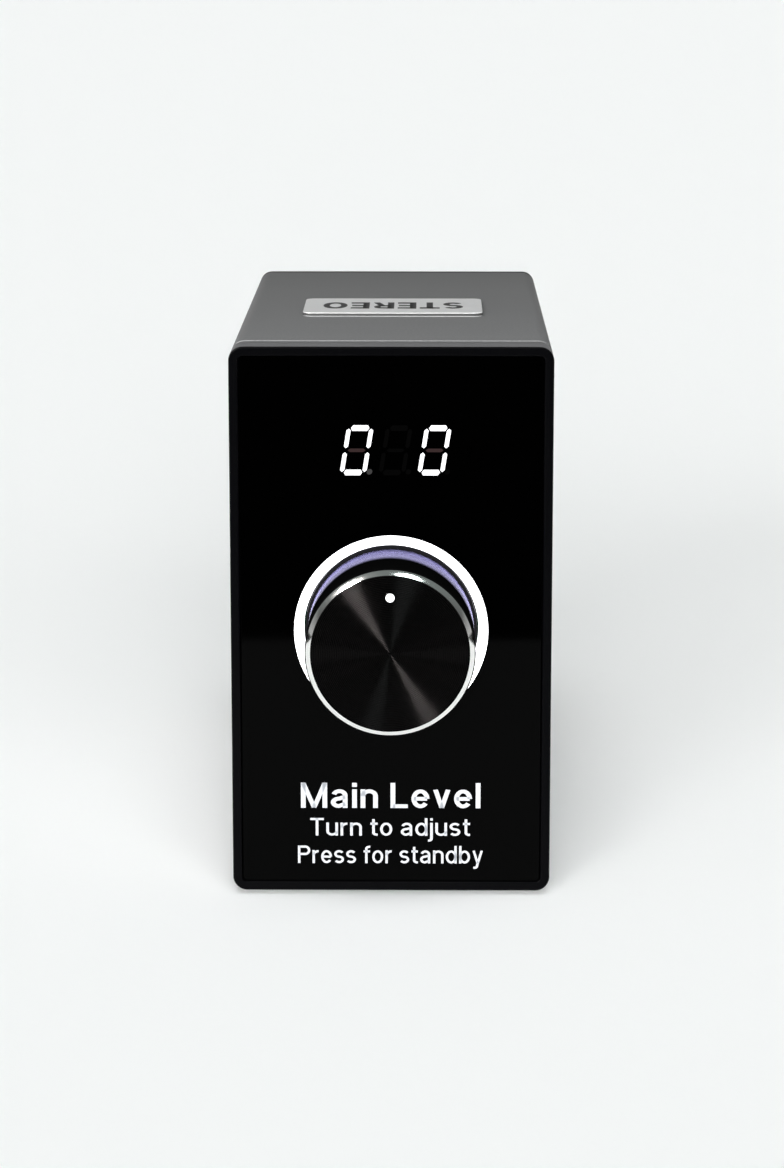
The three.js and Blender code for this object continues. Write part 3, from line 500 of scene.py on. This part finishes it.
ring_front, ring_back = ring_low[1], ring_high[1]
FLANGE_R = (ring_high[0] - ring_low[0]) / 2
FLANGE_T = 1.4 * MM
flange_y = ring_back - FLANGE_T
LIP = 0.12 * MM
ring_profile = [
    (RING_R - LIP, ring_front),
    (RING_R, ring_front + LIP),
    (RING_R, flange_y),
    (FLANGE_R, flange_y),
    (FLANGE_R, ring_back),
    (RING_R - RING_BAND, ring_back),
    (RING_R - RING_BAND, ring_front + LIP),
    (RING_R - RING_BAND + LIP, ring_front),
]
ring_finish = glowing("lit_opal", (0.9, 0.9, 0.92), 0.35, (0.99, 0.985, 1.0), 2.2)
grain(ring_finish, 0.006, rough=(0.3, 0.4))
ring_wall_finish = shader("masked_opal", (0.001, 0.001, 0.001), 0.6, Specular_IOR_Level=0.1)
grain(ring_wall_finish, 0.006, rough=(0.55, 0.65))
ring_inner_finish = glowing("lit_opal_inner", (0.5, 0.5, 0.52), 0.6, (0.97, 0.96, 1.0), 5.0)
grain(ring_inner_finish, 0.006, rough=(0.55, 0.65))
# One finish for each span of the profile: the hidden walls are masked, the bore
# glows on the knob's foot, and the front is lit.
RING_ROWS = np.array([1, 1, 1, 1, 1, 2, 0, 0])
ring_finishes = [ring_finish, ring_wall_finish, ring_inner_finish]
light_ring = turned("glow_ring", ring_profile, 160, ring_finishes, KNOB_Z, slots=RING_ROWS)
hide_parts("light_ring")
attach(light_ring, "chassis")

# --- Knob -----------------------------------------------------------------------------
# Turned aluminium, black anodised. Its face carries fine turning grooves, and a
# diamond cutter has bared a bright chamfer round the edge.
KNOB_R = (knob_high[0] - knob_low[0]) / 2
CHAMFER_R = 1.12 * MM
CHAMFER_STEP = 0.23 * MM
CHAMFER_Y = 0.82 * MM
GROOVE_PITCH = 0.34 * MM
GROOVE_SLOPE = 0.88
FACE_R = KNOB_R - CHAMFER_R
GROOVES = round((FACE_R - 0.4 * MM) / GROOVE_PITCH)
GROOVE_POINTS = 5
groove_depth = GROOVE_SLOPE * GROOVE_PITCH / (2 * math.pi)
knob_face, knob_base = knob_low[1], knob_high[1]
wave = np.arange(GROOVES * GROOVE_POINTS + 1)
GROOVE_SINK = 0.02 * MM
FACE_MARGIN = 0.15 * MM
face_radius = FACE_R - FACE_MARGIN - (GROOVES * GROOVE_POINTS - wave) * GROOVE_PITCH / GROOVE_POINTS
face_y = knob_face + GROOVE_SINK + groove_depth * (1 - np.cos(wave * 2 * math.pi / GROOVE_POINTS))
COUNTERBORE_R = 7.5 * MM
counterbore_y = knob_base - 3.95 * MM
bore_end_y = knob_face + 3.0 * MM
SHAFT_BORE_R = 3.25 * MM
SIDE_TAPER = 0.1 * MM
# Where the painted reflection of the ring on the wall starts, and where it is full.
PAINTED_REFLECTION_REACH = 10.0 * MM
PAINTED_REFLECTION_FULL = 3.0 * MM
rim_profile = [
    (FACE_R, knob_face),
    (KNOB_R - CHAMFER_STEP, knob_face + CHAMFER_Y),
    (KNOB_R - 0.04 * MM, knob_face + CHAMFER_Y + 0.05 * MM),
    (KNOB_R, knob_face + CHAMFER_Y + 0.15 * MM),
    (KNOB_R - SIDE_TAPER, knob_base - 0.4 * MM),
    (KNOB_R - SIDE_TAPER - 0.1 * MM, knob_base - 0.12 * MM),
    (KNOB_R - SIDE_TAPER - 0.4 * MM, knob_base),
    (COUNTERBORE_R, knob_base),
    (COUNTERBORE_R, counterbore_y),
    (SHAFT_BORE_R, counterbore_y),
    (SHAFT_BORE_R, bore_end_y),
    (0.0, bore_end_y),
]
groove_rows = list(zip(face_radius.tolist(), face_y.tolist()))
face_land = [(FACE_R - 0.05 * MM, knob_face)]
knob_profile = [(0.0, knob_face + GROOVE_SINK)] + groove_rows + face_land + rim_profile
ROW_FACE, ROW_CHAMFER, ROW_SIDE = 0, 1, 2
side_rows = [ROW_SIDE] * (len(rim_profile) - 2)
knob_rows = [ROW_FACE] * (len(groove_rows) + 1) + [ROW_CHAMFER] + side_rows
knob_face_finish = shader("anodised_black_turned", (0.0075, 0.007, 0.007), 0.16, 1.0)
knob_chamfer_finish = shader("bared_aluminium", (0.95, 0.95, 0.93), 0.11, 1.0)
SIDE_SOCKETS = {"Specular_IOR_Level": 0.0, "Specular_Tint": (0.72, 0.70, 1.0, 1.0)}
knob_side_finish = shader("anodised_black_gloss", (0.05, 0.05, 0.07), 0.24, **SIDE_SOCKETS)
# Lavender of the painted reflection of the ring at the foot of the wall.
SIDE_PAINTED_REFLECTION = (0.14, 0.135, 0.24)
grain(knob_face_finish, 0.0012, rough=(0.14, 0.19))
grain(knob_chamfer_finish, 0.0008, rough=(0.08, 0.13), stretch=(1.0, 0.2, 1.0))
grain(knob_side_finish, 0.0015, rough=(0.22, 0.27), stretch=(1.0, 8.0, 1.0))
# The wall's colour and metallic fade along its depth: a lavender mirror at its
# foot, matt black towards the face. The fade is a painted reflection of the ring.
side_tree = knob_side_finish.node_tree
side_split = side_tree.nodes.new("ShaderNodeSeparateXYZ")
side_depth = side_tree.nodes.new("ShaderNodeMapRange")
side_depth.inputs["From Min"].default_value = knob_base - PAINTED_REFLECTION_REACH
side_depth.inputs["From Max"].default_value = knob_base - PAINTED_REFLECTION_FULL
side_painted_reflection_ramp = side_tree.nodes.new("ShaderNodeValToRGB")
side_painted_reflection_ramp.color_ramp.elements[0].color = (0.002, 0.002, 0.002, 1.0)
side_painted_reflection_ramp.color_ramp.elements[1].color = (*SIDE_PAINTED_REFLECTION, 1.0)
side_shader = side_tree.nodes["Principled BSDF"]
side_tree.links.new(side_depth.outputs["Result"], side_painted_reflection_ramp.inputs["Fac"])
side_tree.links.new(side_depth.outputs["Result"], side_shader.inputs["Metallic"])
side_tree.links.new(side_painted_reflection_ramp.outputs["Color"], side_shader.inputs["Base Color"])
side_place = side_tree.nodes["Texture Coordinate"]
side_tree.links.new(side_place.outputs["Object"], side_split.inputs["Vector"])
side_tree.links.new(side_split.outputs["Y"], side_depth.inputs["Value"])
knob = turned(
    "knob_turned",
    knob_profile,
    192,
    [knob_face_finish, knob_chamfer_finish, knob_side_finish],
    KNOB_Z,
    slots=np.array(knob_rows),
)
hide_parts("knob_body")
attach(knob, "knob")

# --- Knob indicator -------------------------------------------------------------------
# White paint in a small drilled dimple near the top of the knob's face.
dot_low, dot_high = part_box("knob_indicator")
dot_z = (dot_low[2] + dot_high[2]) / 2
DOT_R = 0.85 * MM
dot_profile = [
    (0.0, knob_face - 0.01 * MM),
    (DOT_R * 0.7, knob_face - 0.01 * MM),
    (DOT_R, knob_face + 0.03 * MM),
    (DOT_R, knob_face + 0.5 * MM),
    (0.0, knob_face + 0.5 * MM),
]
# The white paint also gives off light: a painted glow that stands in for the lamps' light on the dot.
dot_paint_and_painted_glow = glowing("white_paint_and_painted_glow", (0.93, 0.93, 0.92), 0.45, WHITE, 0.35)
grain(dot_paint_and_painted_glow, 0.0004, rough=(0.4, 0.5), bump=0.000003)
dot = turned("indicator_dot", dot_profile, 40, [dot_paint_and_painted_glow], dot_z)
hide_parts("knob_indicator")
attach(dot, "knob")

# --- Display digits -------------------------------------------------------------------
# Three 0.40 inch seven-segment digits shine through the smoked panel. The outer
# two show a nought, and the unlit segments glimmer faintly.
display_low, display_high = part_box("display_module")
DISPLAY_X = (display_low[0] + display_high[0]) / 2 + 0.16 * MM
DISPLAY_Z = (display_low[2] + display_high[2]) / 2
DIGIT_PITCH = 7.62 * MM
DIGIT_H = 9.92 * MM
COLUMN_X = 2.2 * MM
BAR_T = 1.12 * MM
COLUMN_T = 0.82 * MM
SLANT = math.tan(math.radians(9.2))
PANEL_FACE = panel_low[1]


def bar_outline(centre, length, thickness, tip, upright):
    """Six-sided bar with pointed or blunt tips: `tip` is how far each end tapers."""
    half = length / 2
    side = thickness / 2
    points = np.array([
        (half, 0.0),
        (half - tip, side),
        (tip - half, side),
        (-half, 0.0),
        (tip - half, -side),
        (half - tip, -side),
    ])
    if upright:
        points = np.stack([-points[:, 1], points[:, 0]], axis=1)
    return points + np.array(centre)


def digit_piece(name, outlines, origin_x, material):
    """Thin slanted plates on the panel's face: each outline leans right by SLANT."""
    vertices, faces = [], []
    for outline in outlines:
        x = origin_x + outline[:, 0] + SLANT * outline[:, 1]
        z = DISPLAY_Z + outline[:, 1]
        count = len(outline)
        base = sum(len(block) for block in vertices)
        front = np.column_stack([x, np.full(count, PANEL_FACE - 0.012 * MM), z])
        rear = np.column_stack([x, np.full(count, PANEL_FACE + 0.03 * MM), z])
        vertices.extend([front, rear])
        here = np.arange(count)
        following = (here + 1) % count
        faces.append((base + here).tolist())
        faces.append((base + count + here[::-1]).tolist())
        corners = [here, count + here, count + following, following]
        faces.extend((base + np.stack(corners, axis=1)).tolist())
    piece = build_mesh(name, np.concatenate(vertices), faces, False, [material])
    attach(piece, "chassis")
    return piece


row_z = DIGIT_H / 2 - BAR_T / 2
column_z = DIGIT_H / 4 - 0.13 * MM
segments = {
    "a": bar_outline((0.0, row_z), 3.60 * MM, BAR_T, 0.36 * MM, False),
    "d": bar_outline((0.0, -row_z), 3.60 * MM, BAR_T, 0.36 * MM, False),
    "g": bar_outline((0.0, 0.0), 3.5 * MM, 0.7 * MM, 0.45 * MM, False),
    "b": bar_outline((COLUMN_X, column_z), 3.88 * MM, COLUMN_T, 0.36 * MM, True),
    "f": bar_outline((-COLUMN_X, column_z), 3.88 * MM, COLUMN_T, 0.36 * MM, True),
    "c": bar_outline((COLUMN_X, -column_z), 3.88 * MM, COLUMN_T, 0.36 * MM, True),
    "e": bar_outline((-COLUMN_X, -column_z), 3.88 * MM, COLUMN_T, 0.36 * MM, True),
}
point_outline = circle_outline(0.55 * MM, (3.2 * MM, -4.26 * MM), 20)
lit_finish = glowing("lit_segment", (0.25, 0.25, 0.26), 0.4, (1.0, 0.985, 1.0), 1.1)
MATT = {"Specular_IOR_Level": 0.0}
GREY_GLOW = (1.0, 0.98, 0.98)
faint_finish = glowing("faint_segment", (0.0006, 0.0004, 0.0004), 0.5, (1.0, 0.6, 0.6), 0.042, **MATT)
ghost_finish = glowing("ghost_segment", (0.0001, 0.0001, 0.0001), 0.5, GREY_GLOW, 0.0018, **MATT)
point_finish = glowing("faint_point", (0.0006, 0.0006, 0.0006), 0.5, GREY_GLOW, 0.055, **MATT)
for number, offset in enumerate((-1, 0, 1), start=1):
    digit_x = DISPLAY_X + offset * DIGIT_PITCH
    if offset:
        lit = [segments[key] for key in "abcdef"]
        digit_piece(f"digit_{number}_lit", lit, digit_x, lit_finish)
        digit_piece(f"digit_{number}_middle_bar", [segments["g"]], digit_x, faint_finish)
    else:
        digit_piece(f"digit_{number}_unlit", list(segments.values()), digit_x, ghost_finish)
    dot_finish = point_finish if offset < 0 else ghost_finish
    digit_piece(f"digit_{number}_point", [point_outline], digit_x, dot_finish)

# --- Front lettering ------------------------------------------------------------------
# Plain white screen print under the knob: a bold heading and two lighter lines
# that say what the knob does.
INK_T = 0.012 * MM
# The white ink also gives off light: a painted glow that stands in for the lamps' light on the print.
ink_and_painted_glow = glowing("white_ink_and_painted_glow", (0.25, 0.25, 0.26), 0.5, (0.90, 0.95, 1.0), 0.42)
grain(ink_and_painted_glow, 0.0003, rough=(0.45, 0.55))


X_HEIGHT = 0.74


def bend(cx, cz, rx, rz, start, stop, count=18):
    """Points on an ellipse from one angle to another, in degrees."""
    turns = np.radians(np.linspace(start, stop, count))
    return np.stack([cx + rx * np.cos(turns), cz + rz * np.sin(turns)], axis=1)


def path(*parts):
    """One stroke's centre line: corners and bends, joined in order."""
    return np.concatenate([np.atleast_2d(part) for part in parts])


def glyph_strokes(letter, t):
    """Centre lines of one plain sans letter whose capitals are one unit high, drawn with
    a stroke t thick, and the letter's width."""
    h = t / 2
    top = X_HEIGHT
    mid = X_HEIGHT / 2
    arch = 0.19
    bowl = bend(0.28, mid, 0.28 - h, mid - h, 0, 360, 34)
    round_cap = bend(0.38, 0.5, 0.38 - h, 0.5 - h, 0, 360, 40)
    stem = path((h, 0), (h, top))
    tall = path((h, 0), (h, 1))
    half = (mid - h) / 2
    s_top = bend(0.25, mid + half, 0.25 - h, half, 30, 270)
    s_low = bend(0.25, mid - half, 0.25 - h, half, 90, -150)
    cap_half = (0.5 - h) / 2
    p_bowl = path((h, 1 - h), bend(0.38, 0.73, 0.25 - h, 0.27 - h, 90, -90), (h, 0.46 + h))
    m_right = path((0.82 - h, 0), (0.82 - h, 1))
    m_down = path((h, 1), (0.41, 0))
    m_up = path((0.41, 0), (0.82 - h, 1))
    e_bars = [path((h, h), (0.58, h)), path((h, 0.52), (0.55, 0.52)), path((h, 1 - h), (0.58, 1 - h))]
    a_bowl = bend(0.25, 0.22, 0.25 - h, 0.22 - h, 90, 270)
    cross_bar = path((0, top - h), (0.33, top - h))
    f_stem = path((0.14, 0), bend(0.30, 0.83, 0.16, 0.17 - h, 180, 90), (0.34, 1 - h))
    t_stem = path((0.14, top + 0.2), bend(0.28, h + 0.12, 0.14, 0.12, 180, 270), (0.33, h))
    j_stem = path((h, top), bend(h - 0.12, -0.15, 0.12, 0.12, 0, -90), (h - 0.16, -0.27))
    i_dot = path((h, 1 - 1.1 * t), (h, 1))
    n_arch = path(bend(0.27, top - h - arch, 0.27 - h, arch, 180, 0), (0.54 - h, 0))
    u_bowl = path((h, top), bend(0.27, h + arch, 0.27 - h, arch, 180, 360))
    v_left = path((h, top), (0.27, 0))
    y_tail = path((0.54 - h, top), (0.25, -0.06), bend(0.14, -0.12, 0.1, 0.12, -10, -90), (0.05, -0.24))
    shapes = {
        "M": (0.82, [tall, m_right, m_down, m_up]),
        "L": (0.54, [tall, path((h, h), (0.54, h))]),
        "T": (0.62, [path((0, 1 - h), (0.62, 1 - h)), path((0.31, 0), (0.31, 1))]),
        "P": (0.63, [tall, p_bowl]),
        "R": (0.66, [tall, p_bowl, path((0.36, 0.46 + h), (0.66 - h, 0))]),
        "E": (0.58, [tall] + e_bars),
        "O": (0.76, [round_cap]),
        "S": (0.62, [
            bend(0.31, 0.5 + cap_half, 0.31 - h, cap_half, 28, 270),
            bend(0.31, 0.5 - cap_half, 0.31 - h, cap_half, 90, -152),
        ]),
        "a": (0.55, [
            path(bend(0.27, top - h - 0.17, 0.25 - h, 0.17, 165, 0), (0.52 - h, 0.0)),
            path((0.52 - h, mid + 0.07), a_bowl, (0.52 - h, h + 0.09)),
        ]),
        "b": (0.57, [tall, bowl]),
        "d": (0.57, [path((0.56 - h, 0), (0.56 - h, 1)), bowl]),
        "e": (0.56, [bend(0.28, mid, 0.28 - h, mid - h, 0, 322, 30), path((h, mid), (0.56 - h, mid))]),
        "f": (0.33, [f_stem, cross_bar]),
        "i": (t, [stem, i_dot]),
        "j": (t, [j_stem, i_dot]),
        "l": (t, [tall]),
        "n": (0.54, [stem, n_arch]),
        "o": (0.56, [bowl]),
        "r": (0.33, [stem, bend(0.31, top - h - 0.22, 0.31 - h, 0.22, 180, 88)]),
        "s": (0.50, [s_top, s_low]),
        "t": (0.33, [t_stem, cross_bar]),
        "u": (0.54, [path((0.54 - h, 0), (0.54 - h, top)), u_bowl]),
        "v": (0.54, [v_left, path((0.27, 0), (0.54 - h, top))]),
        "y": (0.54, [v_left, y_tail]),
        " ": (0.20, []),
    }
    return shapes[letter]


def lettering(name, words, cap_height, width, stroke, place, material):
    """Raised letters: each stroke's centre line is offset by half the stroke to both
    sides and given a thin closed body, then all are scaled and laid out by `place`."""
    vertices, faces = [], []
    cursor = 0.0
    base = 0
    for letter in words:
        advance, strokes = glyph_strokes(letter, stroke)
        for line in strokes:
            ahead = np.gradient(line, axis=0)
            ahead /= np.linalg.norm(ahead, axis=1, keepdims=True)
            side = np.stack([-ahead[:, 1], ahead[:, 0]], axis=1) * stroke / 2
            left, right = line + side, line - side
            if letter in "MRvy":
                highest = 1.0 if letter in "MR" else X_HEIGHT
                lowest = -0.3 if letter == "y" and line.min() < 0 else 0.0
                left[:, 1] = np.clip(left[:, 1], lowest, highest)
                right[:, 1] = np.clip(right[:, 1], lowest, highest)
            count = len(line)
            for edge in (left, right):
                for depth in (1.0, 0.0):
                    shifted = edge + (cursor, 0.0)
                    vertices.append(np.column_stack([shifted, np.full(count, depth)]))
            here = base + np.arange(count - 1)
            for row_a, row_b in ((0, 2), (2, 3), (3, 1), (1, 0)):
                a, b = here + row_a * count, here + row_b * count
                faces.extend(np.stack([a, b, b + 1, a + 1], axis=1).tolist())
            ends = base + np.array([0, 1, 3, 2]) * count
            faces.append(ends.tolist())
            faces.append((ends[::-1] + count - 1).tolist())
            base += 4 * count
        cursor += advance + (0.115 if letter != " " else 0.08)
    points = np.concatenate(vertices)
    low, high = points[:, 0].min(), points[:, 0].max()
    across = (points[:, 0] - (low + high) / 2) * width / (high - low)
    laid = place(across, points[:, 1] * cap_height, points[:, 2])
    piece = build_mesh(name, laid, faces, False, [material])
    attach(piece, "chassis")
    return piece


def on_front(baseline, centre_x):
    """Layout on the panel's face: across goes along +X, up along +Z."""
    def place(across, up, depth):
        return np.stack([across + centre_x, PANEL_FACE - depth * INK_T, up + baseline], axis=1)
    return place


HEADING_STROKE = 0.148
LINE_STROKE = 0.122
HEADING_CAP = 5.2 * MM
LINE_CAP = 3.65 * MM
front_lines = (
    ("heading_print", "Main Level", HEADING_CAP, 35.9, HEADING_STROKE, 18.1, -0.1),
    ("second_line_print", "Turn to adjust", LINE_CAP, 32.0, LINE_STROKE, 12.35, -0.2),
    ("third_line_print", "Press for standby", LINE_CAP, 37.1, LINE_STROKE, 6.6, -0.15),
)
for piece_name, words, cap, length, stroke, baseline, middle_x in front_lines:
    place = on_front(baseline * MM, middle_x * MM)
    lettering(piece_name, words, cap, length * MM, stroke, place, ink_and_painted_glow)

# --- Top badge ------------------------------------------------------------------------
# Satin silver plate stuck on the sleeve's top, lettered to be read from behind.
badge_low, badge_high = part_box("top_badge")
badge_finish = shader("satin_silver", (0.80, 0.80, 0.80), 0.38, 0.4)
grain(badge_finish, 0.0005, rough=(0.34, 0.44), stretch=(0.15, 1.0, 1.0), bump=0.000001)
# The plate's edge walls are coloured dark grey. This is painted shade for the shadowed edge of the
# silver plate.
badge_shaded_edge_finish = shader("badge_edge_painted_shade", (0.05, 0.05, 0.05), 0.5)
grain(badge_shaded_edge_finish, 0.0005, rough=(0.45, 0.55))
badge_outline = rounded_outline(
    badge_high[0] - badge_low[0],
    badge_high[1] - badge_low[1],
    2.0 * MM,
    ((badge_low[0] + badge_high[0]) / 2, (badge_low[1] + badge_high[1]) / 2),
)
BADGE_EDGE = 0.12 * MM
badge_finishes = [badge_finish, badge_shaded_edge_finish]
badge_faces = (-badge_high[2], -badge_low[2])
badge = swept_plate("badge_plate", [badge_outline], *badge_faces, BADGE_EDGE, badge_finishes)
badge_points = np.empty(len(badge.data.vertices) * 3)
badge.data.vertices.foreach_get("co", badge_points)
badge_points = badge_points.reshape(-1, 3)[:, [0, 2, 1]] * np.array([1.0, 1.0, -1.0])
badge.data.vertices.foreach_set("co", badge_points.ravel())
badge.data.update()
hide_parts("top_badge")
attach(badge, "chassis")
badge_ink = shader("dark_ink", (0.03, 0.03, 0.03), 0.5)
grain(badge_ink, 0.0003, rough=(0.45, 0.55))


def on_badge(across, up, depth):
    """Layout on the badge: across goes along -X and up along -Y, to be read from behind."""
    middle_y = (badge_low[1] + badge_high[1]) / 2
    x = (badge_low[0] + badge_high[0]) / 2 - across
    return np.stack([x, middle_y + 5.25 * MM - up, badge_high[2] + depth * INK_T], axis=1)


lettering("badge_print", "STEREO", 10.5 * MM, 29.5 * MM, 0.2, on_badge, badge_ink)

# --- Rear panel -----------------------------------------------------------------------
# Flat aluminium plate that closes the back, punched for the switch, the USB-C inlet,
# four sockets and four screws.
rear_low, rear_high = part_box("rear_panel")
usb_low, usb_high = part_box("usb_c_shell")
JACKS = ("rca_out_right", "rca_out_left", "rca_in_right", "rca_in_left")
REAR_SCREWS = [f"rear_panel_screw_{number}" for number in (1, 2, 3, 4)]


def middle(node):
    """Middle of a CAD piece seen from the front, as (x, z)."""
    low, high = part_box(node)
    return ((low[0] + high[0]) / 2, (low[2] + high[2]) / 2)


JACK_HOLE_R = 4.5 * MM
SCREW_HOLE_R = 1.7 * MM
SWITCH_HOLE = (13.6 * MM, 19.6 * MM)
rear_holes = [circle_outline(JACK_HOLE_R, middle(f"{jack}_barrel"), 64) for jack in JACKS]
rear_holes += [circle_outline(SCREW_HOLE_R, middle(screw), 32) for screw in REAR_SCREWS]
usb_size = (usb_high[0] - usb_low[0] + 0.7 * MM, usb_high[2] - usb_low[2] + 0.7 * MM)
rear_holes.append(rounded_outline(*usb_size, 1.95 * MM, middle("usb_c_shell"), 8))
rear_holes.append(rounded_outline(*SWITCH_HOLE, 0.5 * MM, middle("power_switch_housing"), 4))
rear_finish = shader("rear_aluminium", (0.03, 0.03, 0.033), 0.45, 0.3)
grain(rear_finish, 0.0003, rough=(0.4, 0.52), bump=0.000002)
rear_panel = swept_plate(
    "rear_plate",
    [body_outline] + [hole[::-1] for hole in rear_holes],
    rear_low[1],
    rear_high[1],
    0.15 * MM,
    [rear_finish],
)
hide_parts("rear_panel")
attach(rear_panel, "chassis")

# --- Line sockets ---------------------------------------------------------------------
# Four gold-plated RCA sockets in a column. Each barrel is a rolled tube, and a
# coloured insulator with a centre bore stands inside it.
gold_finish = grain(shader("gold_plate", (0.86, 0.62, 0.25), 0.22, 1.0), 0.0006, rough=(0.17, 0.28))
insulator_finishes = {
    "right": shader("red_insulator", (0.5, 0.015, 0.02), 0.4),
    "left": shader("white_insulator", (0.85, 0.85, 0.82), 0.4),
}
for insulator_finish in insulator_finishes.values():
    grain(insulator_finish, 0.0004, bump=0.000003, rough=(0.35, 0.5))
BARREL_BORE_R = 3.5 * MM
BARREL_ROLL = 0.22 * MM
INSULATOR_BORE_R = 1.6 * MM
INSULATOR_EDGE = 0.2 * MM


def tube_profile(outer, bore, y0, y1, edge):
    """Closed wall of a tube, the outside first with y rising: its far rim is rounded by
    `edge` in three steps."""
    turns = np.radians([0.0, 30.0, 60.0, 90.0])
    outer_rim = [(outer - edge + edge * math.cos(t), y1 - edge + edge * math.sin(t)) for t in turns]
    inner_rim = [(bore + edge - edge * math.sin(t), y1 - edge + edge * math.cos(t)) for t in turns]
    return [(outer, y0)] + outer_rim + inner_rim + [(bore, y0)]


for jack in JACKS:
    jack_x, jack_z = middle(f"{jack}_barrel")
    barrel_low, barrel_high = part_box(f"{jack}_barrel")
    barrel_r = (barrel_high[0] - barrel_low[0]) / 2
    wall = tube_profile(barrel_r, BARREL_BORE_R, barrel_low[1], barrel_high[1], BARREL_ROLL)
    barrel = turned(f"{jack}_barrel_fine", wall, 64, [gold_finish], jack_z, centre_x=jack_x)
    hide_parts(f"{jack}_barrel")
    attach(barrel, "chassis")
    core_low, core_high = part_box(f"{jack}_insulator")
    core_r = (core_high[0] - core_low[0]) / 2
    wall = tube_profile(core_r, INSULATOR_BORE_R, core_low[1], core_high[1], INSULATOR_EDGE)
    side = jack.split("_")[-1]
    core_finish = [insulator_finishes[side]]
    core = turned(f"{jack}_insulator_fine", wall, 64, core_finish, jack_z, centre_x=jack_x)
    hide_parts(f"{jack}_insulator")
    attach(core, "chassis")

# --- Carried-over CAD pieces ----------------------------------------------------------
# Everything else keeps its CAD shape and takes a finish by its material slot.
# Each row: colour, roughness, metallic, grain size, bump height, roughness range.
plain_finishes = {
    "foam_tape": ((0.02, 0.02, 0.02), 0.9, 0.0, 0.0004, 0.00002, (0.85, 0.95)),
    "foot_rubber": ((0.02, 0.02, 0.02), 0.8, 0.0, 0.0003, 0.00001, (0.75, 0.9)),
    "white_plastic": ((0.85, 0.85, 0.82), 0.4, 0.0, 0.0004, 0.000003, (0.35, 0.5)),
    "circuit_board": ((0.01, 0.09, 0.04), 0.4, 0.0, 0.002, 0.0, (0.3, 0.5)),
    "ribbon_vinyl": ((0.3, 0.31, 0.33), 0.5, 0.0, 0.0005, 0.0, (0.45, 0.6)),
    "cap_sleeve": ((0.02, 0.03, 0.07), 0.3, 0.0, 0.001, 0.0, (0.25, 0.4)),
    "nickel_steel": ((0.62, 0.61, 0.59), 0.28, 1.0, 0.0004, 0.0, (0.22, 0.34)),
    "black_steel": ((0.035, 0.035, 0.037), 0.4, 0.8, 0.0003, 0.0, (0.34, 0.48)),
    "digit_light": ((0.85, 0.85, 0.8), 0.5, 0.0, 0.0005, 0.0, (0.4, 0.6)),
}
cad_finishes = {}
for slot_name, (colour, roughness, metallic, size, bump, rough) in plain_finishes.items():
    finish = shader(slot_name, colour, roughness, metallic)
    cad_finishes[slot_name] = grain(finish, size, rough=rough, bump=bump)
black_plastic = shader("black_plastic", (0.0035, 0.0035, 0.004), 0.5, Specular_IOR_Level=0.08)
cad_finishes["black_plastic"] = grain(black_plastic, 0.0002, rough=(0.45, 0.58), bump=0.000003)
for subpart in frame["record"]["subparts"]:
    finish = cad_finishes.get(subpart["material_slot"])
    node = frame["nodes"][subpart["node"]]
    if finish is not None:
        node.data.materials.clear()
        node.data.materials.append(finish)
